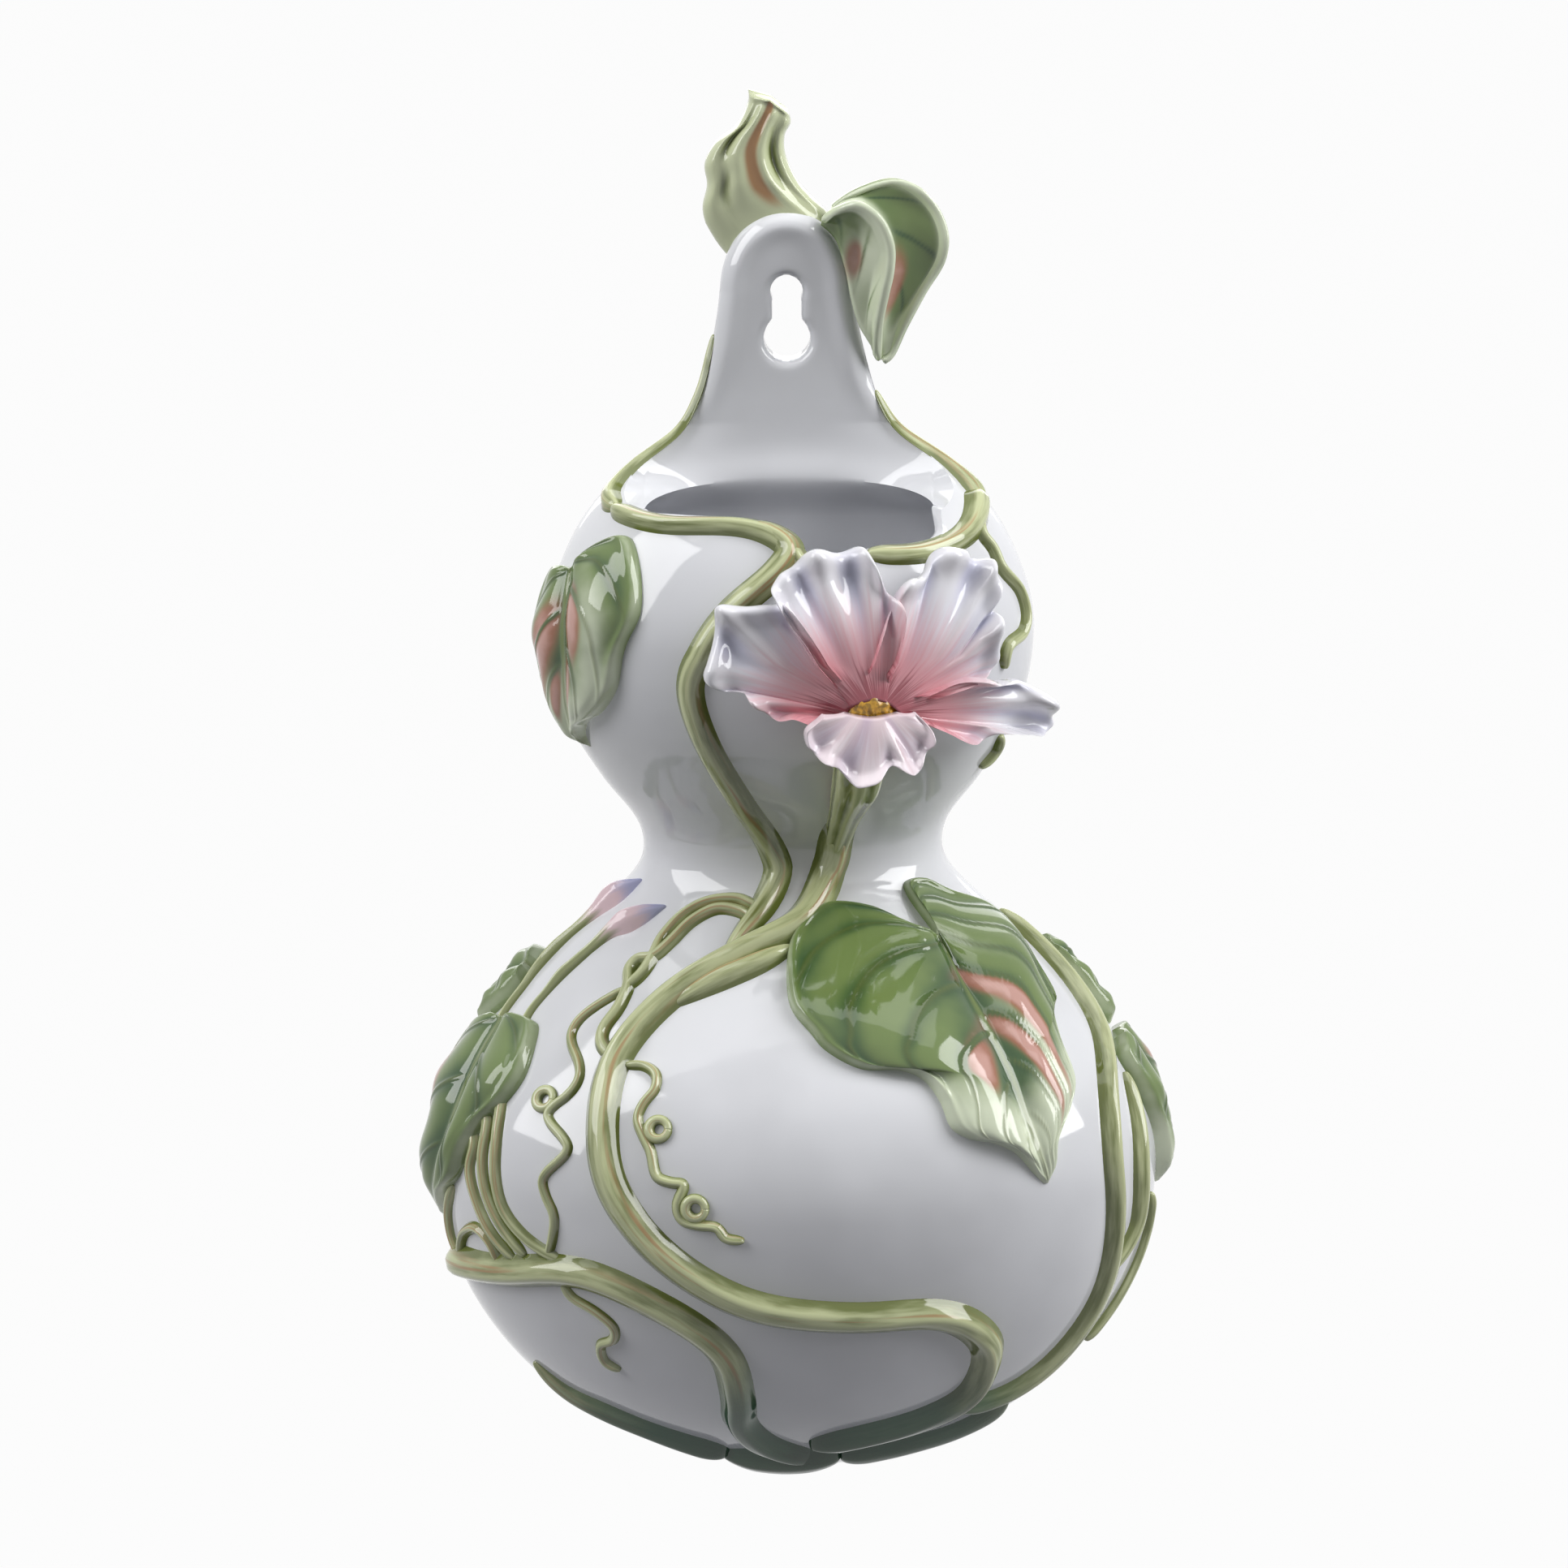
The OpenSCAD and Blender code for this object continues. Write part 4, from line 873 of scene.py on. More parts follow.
VINES = {
    "rim_vine_left": ("branch_w", 0.8, [
        (-66, 0.61), (-40, 0.635), (-15, 0.63), (-2, 0.67, 1.1), (5, 0.77, 0.9)]),
    "rim_vine_right": ("branch_w", 0.8, [
        (20, 0.71, 0.9), (36, 0.72), (54, 0.69, 1.1), (74, 0.62, 1.4), (82, 0.60, 0.9)]),
    "shoulder_vine_left": ("branch_w", 0.85, [
        (-62, 0.61), (-74, 0.59), (-82, 0.53, 0.8), (-87, 0.43, 0.6), (-90, 0.32, 0.5),
        (-90, 0.12, 0.4)]),
    "shoulder_vine_right": ("branch_w", 0.85, [
        (76, 0.63, 1.1), (82, 0.58, 1.1), (87, 0.51, 0.8), (90, 0.42, 0.6), (91, 0.30, 0.4)]),
    "s_vine": ("vine_w", 0.82, [
        (-16, 0.632, 0.5), (-7, 0.64, 0.8), (0, 0.69), (-4, 0.76), (-16, 0.89), (-24, 1.10),
        (-22, 1.37), (-15, 1.70), (-7, 1.94), (-6, 2.02), (-10, 2.11), (-15, 2.18, 0.8),
        (-19, 2.26, 0.5)]),
    "main_vine": ("vine_w", 1.0, [
        (17, 1.74), (16, 1.86), (14, 2.00), (4, 2.14), (-14, 2.23), (-28, 2.34), (-35, 2.50),
        (-34, 2.68), (-30, 2.90), (-21, 3.11), (-8, 3.26), (8, 3.31), (24, 3.32), (34, 3.43),
        (37, 3.55), (36, 3.65), (28, 3.72), (15, 3.77), (2, 3.81, 0.9)], [
        (-32, 2.41, 0.12), (-20, 2.315, 0.8), (-10, 2.262, 0.8), (0, 2.215, 0.6)]),
    "lower_left_vine": ("vine_w", 1.0, [
        (-80, 3.28, 1.2), (-56, 3.24), (-37, 3.19), (-22, 3.29), (-13, 3.43), (-12, 3.60),
        (-13, 3.71), (-9, 3.80), (0, 3.855, 0.9), (8, 3.87, 0.7)]),
    "bottom_vine_left": ("branch_w", 1.0, [
        (-64, 3.58, 0.5), (-60, 3.67, 0.8), (-50, 3.72), (-41, 3.77), (-33, 3.81, 1.1),
        (-22, 3.86, 1.2)]),
    "bottom_vine_right": ("branch_w", 1.0, [
        (50, 3.66, 0.6), (52, 3.74), (46, 3.80), (36, 3.83), (26, 3.855), (12, 3.872, 1.1)]),
    "foot_knot": ("vine_w", 1.0, [
        (-25, 3.86, 0.8), (-14, 3.872, 1.1), (-2, 3.872, 1.2), (14, 3.872, 0.9)]),
    "right_vine": ("branch_w", 1.0, [
        (88, 2.21, 0.8), (88, 2.34), (80, 2.52), (66, 2.68), (60, 2.88), (60.5, 3.10),
        (62, 3.36), (58.5, 3.55), (52, 3.65), (42, 3.69), (34, 3.69, 0.7)]),
    "right_branch": ("branch_w", 1.0, [
        (76, 2.68, 0.6), (73, 2.80, 0.8), (70, 2.96, 0.9), (70, 3.08, 0.9), (69, 3.18, 0.8),
        (62, 3.30, 0.6)]),
    "left_stalk_outer": ("branch_w", 0.55, [
        (-67, 2.79), (-63, 2.84), (-63.3, 2.93), (-60, 3.04), (-56.5, 3.12), (-51, 3.19)], [
        (-70, 3.00), (-74, 3.10), (-75, 3.20), (-72, 3.26)]),
    "left_stalk_inner": ("branch_w", 0.55, [
        (-62, 2.65), (-58.5, 2.70), (-56.5, 2.81), (-55, 2.93), (-52.5, 3.03), (-47, 3.11),
        (-40, 3.16)], [
        (-64.5, 2.72), (-60.5, 2.77), (-59.5, 2.885), (-57, 3.00), (-53, 3.09), (-48, 3.17)]),
}

TENDRILS = {
    "twin_tendril_outer": (1.3, [
        (-8, 2.13), (-14, 2.11), (-20.5, 2.095), (-30.5, 2.11), (-37, 2.15), (-39.5, 2.21),
        (-38.7, 2.26), (-39.2, 2.31), (-42, 2.355)]),
    "twin_tendril_inner": (1.3, [
        (-10, 2.16), (-17, 2.13), (-26, 2.125), (-33, 2.165), (-36, 2.22), (-38.5, 2.26),
        (-42.5, 2.27), (-43.5, 2.30), (-41, 2.34), (-40.3, 2.40), (-41.3, 2.455), (-40, 2.495),
        (-36, 2.53)]),
    "left_tendril": (1.0, [
        (-41, 2.345), (-46, 2.395), (-49, 2.445), (-48.5, 2.495), (-43.5, 2.55), (-41.5, 2.595),
        (-42.3, 2.64), (-45, 2.685), (-45, 2.72), (-40.5, 2.77), (-39.5, 2.81), (-43.5, 2.89),
        (-42.8, 2.95), (-41, 3.01), (-41.5, 3.08), (-43, 3.15)]),
    "left_tendril_tail": (1.0, [
        (-41, 3.23), (-39.5, 3.28), (-35.5, 3.315), (-32.5, 3.365), (-33.5, 3.415),
        (-36.7, 3.44), (-37.5, 3.50), (-34.5, 3.53)]),
    "middle_tendril": (1.0, [
        (-33, 2.545), (-29, 2.54), (-26, 2.56), (-25.3, 2.60), (-26.7, 2.64), (-27.2, 2.685),
        (-25.5, 2.735), (-23.8, 2.78), (-22.5, 2.85), (-20, 2.868), (-17.8, 2.875),
        (-18.8, 2.935), (-18, 2.985), (-15.5, 3.00), (-12.5, 3.005), (-11, 3.04), (-8, 3.045)]),
    "right_tendril": (1.3, [
        (70, 0.64), (63, 0.69), (65, 0.74), (65.5, 0.80), (72, 0.87), (73, 0.95), (69, 1.00),
        (62, 1.025), (60, 1.07), (60.5, 1.13)], [
        (70.5, 1.45), (74.5, 1.52), (72, 1.57), (68.5, 1.60)]),
    "side_tendril": (1.2, [(78, 3.08), (80, 3.22), (79, 3.34), (76, 3.46), (71, 3.56)]),
    "corner_tendril": (1.1, [
        (-72, 3.25), (-69, 3.18), (-66, 3.14), (-61.5, 3.115), (-57.5, 3.15), (-56, 3.22)]),
}

CURLS = [(-47.2, 2.665), (-23, 2.712), (-15.8, 2.945)]

LEAVES = {
    "front_leaf": dict(
        left=[(40, 2.22), (32, 2.18), (24, 2.13), (12, 2.11), (4, 2.14), (-1, 2.20), (-2, 2.28),
              (-1, 2.37), (3, 2.44), (6, 2.49), (12, 2.54), (19, 2.55), (23, 2.58), (25, 2.64),
              (26, 2.72), (29, 2.76), (33, 2.78), (37, 2.82), (40, 2.89), (42, 2.93)],
        middle=[(41.5, 2.23), (40, 2.35), (40, 2.47), (40, 2.59), (40, 2.72), (41, 2.84),
                (42.5, 2.93)],
        right=[(43, 2.20), (43, 2.08), (52, 2.07), (61, 2.12), (75, 2.18), (75, 2.25),
               (70, 2.34), (66, 2.43), (61, 2.46), (57, 2.54), (55, 2.64), (51, 2.71),
               (46, 2.79), (45, 2.87), (43, 2.93)],
        veins=5.6, sweep=0.55, right_sweep=1.5, pale=(0.46, 0.78),
        blush=[(0.13, 0.34, 0.055, 0.34, 1.5), (0.31, 0.28, 0.055, 0.26, 1.5),
               (0.40, -0.20, 0.07, 0.13, 1.4)],
        light=[(-0.15, 0.25, 0.10, 0.22, 0.6), (0.22, 0.55, 0.05, 0.4, 0.8)]),
    "upper_left_leaf": dict(
        left=[(-71, 0.79), (-80, 0.81), (-84, 0.89), (-84, 0.99), (-83, 1.13), (-78, 1.27),
              (-73, 1.41), (-69, 1.47)],
        middle=[(-66, 0.79), (-64, 0.90), (-63, 1.07), (-66, 1.29), (-68, 1.475)],
        right=[(-62, 0.75), (-56, 0.70), (-48, 0.68), (-41, 0.76), (-38, 0.88), (-42, 1.00),
               (-45, 1.16), (-52, 1.28), (-61, 1.35), (-66, 1.42), (-67, 1.48)],
        veins=4.0, sweep=0.45, pale=(0.4, 0.85),
        blush=[(0.28, -0.42, 0.15, 0.34, 1.4), (0.20, 0.26, 0.12, 0.14, 1.3),
               (0.50, 0.20, 0.10, 0.13, 1.3), (0.58, -0.22, 0.08, 0.14, 1.3)],
        light=[(0.10, 0.55, 0.20, 0.30, 0.7)]),
    "lower_left_leaf": dict(
        left=[(-81, 2.51), (-92, 2.58), (-93, 2.68), (-90, 2.78), (-88, 2.89), (-88, 3.01),
              (-84, 3.13)],
        middle=[(-74, 2.50), (-72, 2.60), (-71, 2.72), (-72, 2.85), (-76, 2.99), (-82, 3.14)],
        right=[(-68, 2.48), (-61, 2.48), (-57, 2.54), (-55, 2.62), (-57, 2.70), (-61, 2.77),
               (-64, 2.86), (-67, 2.96), (-73, 3.04), (-80, 3.14)],
        veins=3.2, sweep=0.35, pale=(0.75, 1.1),
        blush=[(0.2, -0.75, 0.22, 0.22, 1.4)]),
    "left_back_leaf": dict(
        left=[(-90, 2.36), (-97, 2.34), (-104, 2.37), (-107, 2.44), (-105, 2.52), (-98, 2.58)],
        middle=[(-88, 2.38), (-93, 2.40), (-96, 2.46), (-97, 2.52), (-96, 2.58)],
        right=[(-86, 2.39), (-83, 2.42), (-84, 2.46), (-87, 2.50), (-91, 2.54), (-94, 2.58)],
        veins=2.4, sweep=0.3, pale=(0.8, 1.3), blush=[]),
    "right_leaf": dict(
        left=[(82, 2.60), (77, 2.64), (78, 2.72), (80, 2.80), (83, 2.90), (85, 3.00), (88, 3.09)],
        middle=[(88, 2.59), (89, 2.69), (90, 2.80), (90, 2.92), (90, 3.03), (90, 3.10)],
        right=[(95, 2.60), (101, 2.65), (103, 2.74), (101, 2.86), (98, 2.98), (92, 3.09)],
        veins=3.0, sweep=0.35, pale=(0.5, 0.9),
        blush=[(0.12, 0.6, 0.12, 0.3, 1.2)]),
    "right_upper_leaf": dict(
        left=[(90, 2.37), (88.5, 2.42), (88, 2.48), (89, 2.54), (93, 2.585)],
        middle=[(93, 2.34), (96, 2.39), (97, 2.46), (97, 2.53), (95, 2.59)],
        right=[(96, 2.32), (103, 2.35), (107, 2.43), (106, 2.51), (98, 2.585)],
        veins=2.4, sweep=0.3, pale=(0.8, 1.3), blush=[]),
}

BUDS = {
    "front_bud": [
        (-66, 2.56, 0.3), (-66, 2.50, 0.4), (-67, 2.45, 0.4), (-66.5, 2.40, 0.4),
        (-66, 2.35, 0.55), (-64.5, 2.31, 0.5), (-62.5, 2.26, 0.5), (-60.5, 2.22, 0.75),
        (-56.5, 2.19, 1.15), (-51, 2.155, 0.8), (-46, 2.13, 0.3)],
    "side_bud": [
        (-78, 2.55, 0.3), (-80, 2.48, 0.4), (-81, 2.42, 0.4), (-83, 2.37, 0.5),
        (-84, 2.31, 0.6), (-83, 2.25, 0.5), (-81, 2.20, 0.7), (-78, 2.15, 1.1),
        (-74, 2.11, 0.8), (-70, 2.08, 0.3)],
}

PETALS = {
    "petal_left": dict(
        root=[(12, 1.20, 10), (11.7, 1.165, 10), (14.5, 1.138, 10)],
        margin=[(4, 1.20, 12), (-0.2, 1.18, 11), (-4.2, 1.19, 10), (-7, 1.155, 9),
                (-9.1, 1.105, 8.5), (-12.2, 1.09, 8), (-16.1, 1.085, 8), (-17.8, 1.037, 8),
                (-17.6, 0.97, 8), (-16.7, 0.90, 8), (-14.2, 0.868, 8), (-9.6, 0.858, 8.5),
                (-4.5, 0.852, 9), (-0.4, 0.871, 9.5), (5, 0.95, 9.5), (10, 1.05, 9.5)],
        waves=4.6, pleats=4, phase=0.6),
    "petal_top": dict(
        root=[(11.8, 1.15, 10.5), (16.6, 1.13, 10.5), (20, 1.142, 10.5)],
        margin=[(8.5, 1.06, 10.5), (3, 0.95, 10), (-1.8, 0.88, 9.5), (-3.9, 0.83, 9),
                (-3, 0.78, 8.5), (0.7, 0.756, 8), (5, 0.74, 8), (9.2, 0.721, 8),
                (13.8, 0.72, 8), (17.2, 0.74, 8), (19.3, 0.773, 8.5), (21.3, 0.823, 9),
                (23.6, 0.882, 9.5), (23, 0.95, 10), (20, 1.04, 10.5)],
        waves=4.4, pleats=5, phase=2.0),
    "petal_right_top": dict(
        root=[(15.5, 1.132, 10.2), (20, 1.15, 10.4), (21.5, 1.165, 10.6)],
        margin=[(16.0, 1.03, 8.8), (18.6, 0.95, 8.2), (21.4, 0.88, 8.2), (24.6, 0.83, 8.5),
                (29.1, 0.806, 8), (32.5, 0.776, 8), (35, 0.75, 8), (39.8, 0.751, 8),
                (45.4, 0.748, 8), (48.5, 0.775, 8), (49, 0.813, 8), (50.8, 0.844, 8.5),
                (48.5, 0.888, 9), (46.4, 0.926, 9), (47.5, 0.965, 9.5), (47.2, 1.017, 10),
                (43.8, 1.062, 10.5), (38, 1.10, 10.5), (30, 1.14, 10.5)],
        waves=5.4, pleats=5, phase=1.2),
    "petal_right": dict(
        root=[(21, 1.155, 10.4), (22.2, 1.18, 11), (21.5, 1.20, 11.5)],
        margin=[(28, 1.125, 11), (35, 1.09, 11), (40.6, 1.077, 11.5), (45, 1.10, 12),
                (48.8, 1.098, 12.5), (53.8, 1.12, 13), (58.2, 1.172, 13.5), (62.9, 1.235, 14),
                (65.5, 1.284, 14), (59.7, 1.297, 14.5), (52.4, 1.267, 14.5), (46.9, 1.264, 15),
                (42.1, 1.288, 15), (37, 1.271, 15), (32.3, 1.236, 14.5), (27, 1.20, 13)],
        waves=4.2, pleats=4, phase=3.0),
    "petal_bottom": dict(
        root=[(10.4, 1.161, 13.3), (16, 1.18, 14), (21.9, 1.171, 13.3)],
        margin=[(6, 1.16, 14), (2.6, 1.195, 16), (2.4, 1.242, 17.5), (4.3, 1.271, 18.5),
                (6.5, 1.277, 19.5), (7.9, 1.306, 20.5), (10.4, 1.342, 21), (12.9, 1.346, 21.5),
                (16.2, 1.34, 21.5), (19.3, 1.316, 21), (22, 1.31, 20.5), (24.9, 1.331, 20),
                (26.4, 1.304, 19), (27.9, 1.264, 17.5), (28, 1.215, 16), (25.5, 1.17, 14)],
        waves=4.6, pleats=4, phase=0.2, cup=-0.8, blush=0.22),
}


# Operators. A spread is the width of a melted-in strand over its round core, and a rise is its
# height over its width.

VINE_SPREAD, VINE_RISE = 1.4, 0.42
TENDRIL_SPREAD, TENDRIL_RISE = 1.3, 0.5
BUD_RISE = 0.55
LEAF_SWELL = 2.4
RUFFLE_GAIN = 2.1


class VASE_OT_body(bpy.types.Operator):
    """Builds the white pocket with its open mouth and hanging tab"""

    bl_idname = "vase.body"
    bl_label = "Body and Tab"

    def execute(self, context):
        g = Gourd(sizes())
        obj = piece("body", body_skin(g), white_porcelain(),
                    ["pocket_shell", "hanging_tab"])
        cut_keyhole(obj, g)
        return {"FINISHED"}


class VASE_OT_back_plate(bpy.types.Operator):
    """Builds the flat back plate that lies against the wall"""

    bl_idname = "vase.back_plate"
    bl_label = "Back Plate"

    def execute(self, context):
        g = Gourd(sizes())
        obj = piece("back_plate_glazed", plate_skin(g), white_porcelain(),
                    ["back_plate"])
        cut_keyhole(obj, g)
        return {"FINISHED"}


class VASE_OT_vines(bpy.types.Operator):
    """Lays the thick vines on the skin"""

    bl_idname = "vase.vines"
    bl_label = "Vines"

    def execute(self, context):
        s = sizes()
        g, glaze = Gourd(s), vine_glaze()
        for i, (name, (key, share, *routes)) in enumerate(VINES.items()):
            width = VINE_SPREAD * getattr(s, key) * share
            skin = joined([strand(g, route, width, VINE_RISE, roll=1.7 * i) for route in routes])
            piece(name + "_glazed", skin, glaze, [name])
        return {"FINISHED"}


class VASE_OT_tendrils(bpy.types.Operator):
    """Lays the thin tendrils and their closed curls on the skin"""

    bl_idname = "vase.tendrils"
    bl_label = "Tendrils"

    def execute(self, context):
        s = sizes()
        g, glaze = Gourd(s), vine_glaze()
        for i, (name, (share, *routes)) in enumerate(TENDRILS.items()):
            width = TENDRIL_SPREAD * s.tendril_w * share
            skin = joined([strand(g, route, width, TENDRIL_RISE, tip=0.35, groove=0.02, roll=i)
                           for route in routes])
            piece(name + "_glazed", skin, glaze, [name])
        piece("tendril_curls_glazed", joined([self.curl(g, a, q) for a, q in CURLS]), glaze,
              ["tendril_curls"])
        return {"FINISHED"}

    def curl(self, g, a, q, ring=2.5):
        """Ring seated on the skin: an oval of a tendril's thickness swept round a circle, and
        thinned by 0.15 times the cosine of the turn."""
        z = g.level(q)
        up = g.out_dir(a, z)
        side = unit(np.cross([0, 0, 1.0], up))
        rise = np.cross(up, side)
        centre = g.skin(a, z) + 0.3 * up
        turn = np.linspace(0, 2 * np.pi, 56)[:, None]
        phi = np.linspace(0, 2 * np.pi, 20, endpoint=False)[None]
        thick = 0.5 * g.s.tendril_w * (1.0 - 0.15 * np.cos(turn))
        out = side * np.cos(turn)[..., None] + rise * np.sin(turn)[..., None]
        grid = centre + out * (ring + thick * np.cos(phi))[..., None] \
            + up * (1.1 * thick * np.sin(phi))[..., None]
        marks = {"across": np.cos(phi) + 0 * turn, "run": turn * ring + 0 * phi,
                 "thin": np.clip(np.sin(phi), 0, 1) + 0 * turn}
        return tube(grid, marks)


class VASE_OT_leaves(bpy.types.Operator):
    """Lays the leaves with their ribs on the skin"""

    bl_idname = "vase.leaves"
    bl_label = "Leaves"

    def execute(self, context):
        s = sizes()
        g, glaze = Gourd(s), leaf_glaze()
        for name, shape in LEAVES.items():
            skin = leaf(g, thick=s.leaf_t, swell=LEAF_SWELL, **shape)
            piece(name + "_glazed", skin, glaze, [name])
        return {"FINISHED"}


class VASE_OT_buds(bpy.types.Operator):
    """Lays the two buds and their stalks on the skin"""

    bl_idname = "vase.buds"
    bl_label = "Buds"

    def execute(self, context):
        s = sizes()
        g, glaze = Gourd(s), bud_glaze()
        for name, route in BUDS.items():
            skin = strand(g, route, s.vine_w, BUD_RISE, groove=0.08)
            piece(name + "_glazed", skin, glaze, [name])
        return {"FINISHED"}


class VASE_OT_petals(bpy.types.Operator):
    """Builds the five ruffled petals and the throat they rise from"""

    bl_idname = "vase.petals"
    bl_label = "Petals"

    THROAT = [(17, 1.23, -0.5, 8.5), (17, 1.22, 4, 8.5), (17, 1.20, 7.5, 7.6),
              (17, 1.19, 9.2, 6.2)]

    def execute(self, context):
        s = sizes()
        g, glaze = Gourd(s), petal_glaze()
        for name, shape in PETALS.items():
            skin = petal(g, thick=s.petal_t, ruffle=RUFFLE_GAIN * s.ruffle, **shape)
            piece(name + "_glazed", skin, glaze, [name])
        points, faces, marks = stalk(g, self.THROAT, 40, 48)
        zero = np.zeros(len(points))
        throat = points, faces, {"radial": zero, "fan": marks["across"], "hollow": zero,
                                 "edge": zero, "blush": zero + 1}
        piece("flower_throat_glazed", throat, glaze, ["flower_throat"])
        return {"FINISHED"}


class VASE_OT_centre(bpy.types.Operator):
    """Builds the flower's yellow centre and the calyx under the flower"""

    bl_idname = "vase.centre"
    bl_label = "Flower Centre and Calyx"

    CALYX = [(16, 1.27, 10, 6.8), (15.5, 1.38, 9, 6.6), (15.8, 1.48, 7, 6.2),
             (16, 1.58, 4.4, 5.4), (16.1, 1.70, 2.2, 4.2), (16.3, 1.82, 1.0, 3.6),
             (16, 1.92, 0.4, 3.2)]

    def execute(self, context):
        g = Gourd(sizes())
        piece("flower_disc_glazed", self.disc(g), disc_glaze(), ["flower_disc"])
        piece("calyx_glazed", stalk(g, self.CALYX, 70, 56, ribs=0.05), vine_glaze(),
              ["calyx"])
        return {"FINISHED"}

    def disc(self, g):
        """Domed button: over the share r of the radius it rises 2.6 (1 - r^4), with dabs of a
        sine round it times a sine across it, over a ring let in by 2 mm."""
        wide = g.s.disc_d / 2
        turn = np.linspace(0, 2 * np.pi, 72, endpoint=False)[None]
        r = np.linspace(1, 0.02, 26)[:, None]
        dabs = 0.35 * np.sin(9 * turn + 5 * r) * np.sin(14 * r) * r
        up = g.out_dir(16.7, g.level(1.2))
        side = unit(np.cross([0, 0, 1.0], up))
        rise = np.cross(up, side)
        centre = g.lifted(16.7, 1.195, 9.8)
        grid = (centre + side * (wide * r * np.cos(turn))[..., None]
                + rise * (0.9 * wide * r * np.sin(turn))[..., None]
                + up * (2.6 * (1 - r ** 4) + dabs)[..., None])
        return tube(np.concatenate([grid[:1] - up * 2.0, grid]))


class VASE_OT_stem_stub(bpy.types.Operator):
    """Builds the cut stem that crowns the tab, ribbed and hollowed"""

    bl_idname = "vase.stem_stub"
    bl_label = "Stem Stub"

    LEFT = [(-16.5, 9), (-20, 15), (-21.5, 21), (-20.3, 27), (-20.8, 32.5), (-18, 38),
            (-12.5, 42.5), (-9.5, 48), (-9.3, 51.5)]
    MIDDLE = [(0, 21), (-6, 27), (-8.5, 32), (-9, 37), (-7, 42), (-4.5, 47), (-3.5, 50)]
    RIGHT = [(15, 14), (11, 19.5), (6.5, 24), (2.8, 28.5), (0.2, 34.5), (0, 39.5), (1.6, 43),
             (0.8, 46.5)]

    def execute(self, context):
        g = Gourd(sizes())
        n, m = 110, 81
        u = np.linspace(0, 1, n)[:, None] + np.zeros((1, m))
        v = np.sin(np.linspace(-1, 1, m) * np.pi / 2)[None] + np.zeros((n, 1))
        a = along(self.MIDDLE, u)
        b = np.where((v < 0)[..., None], along(self.LEFT, u), along(self.RIGHT, u))
        p = a + (b - a) * np.abs(v)[..., None]
        arch = np.radians(62 * v)
        foot = np.stack([g.neck_r * np.sin(arch), g.s.arch_h * np.cos(arch) - 1.0], -1)
        share = np.clip(6 * u, 0, 1)[..., None]
        q = foot * (1 - share) + p * share
        ribs = (bump(v, -0.82, 0.16) + 0.9 * bump(v, -0.28, 0.16) + bump(v, 0.28, 0.15)
                + 0.9 * bump(v, 0.85, 0.14)) * smooth(u, 0.05, 0.3) * (1 - smooth(u, 0.8, 0.95))
        hollow = (bump(v, -0.58, 0.13) * (bump(u, 0.62, 0.13) + 0.7 * bump(u, 0.30, 0.10))
                  + 0.9 * bump(v, 0.56, 0.13) * bump(u, 0.5, 0.22))
        top = smooth(u, 0.93, 1.0)
        deep = (1.0 + (7.4 - 1.6 * u) * np.sqrt(np.clip(1 - v ** 2, 0, 1)) ** 0.8 + 1.1 * ribs
                - 1.6 * hollow + 0.8 * bump(u, 0.93, 0.03)) * (1 - 0.45 * top)
        front = np.stack([q[..., 0], -deep, q[..., 1]], -1)
        back = np.stack([q[..., 0], -0.6 + 0 * deep, q[..., 1]], -1)
        stripe = bump(v, -0.02 + 0.1 * u, 0.15) * smooth(u, 0.02, 0.2) * (1 - smooth(u, 0.90, 0.95))
        marks = {"thin": np.clip(0.55 + 0.4 * ribs - 0.7 * hollow, 0, 1), "stripe": stripe,
                 "across": v, "run": 50 * u}
        piece("stem_stub_glazed", slab(front, back, marks), stub_glaze(),
              ["stem_stub"])
        return {"FINISHED"}


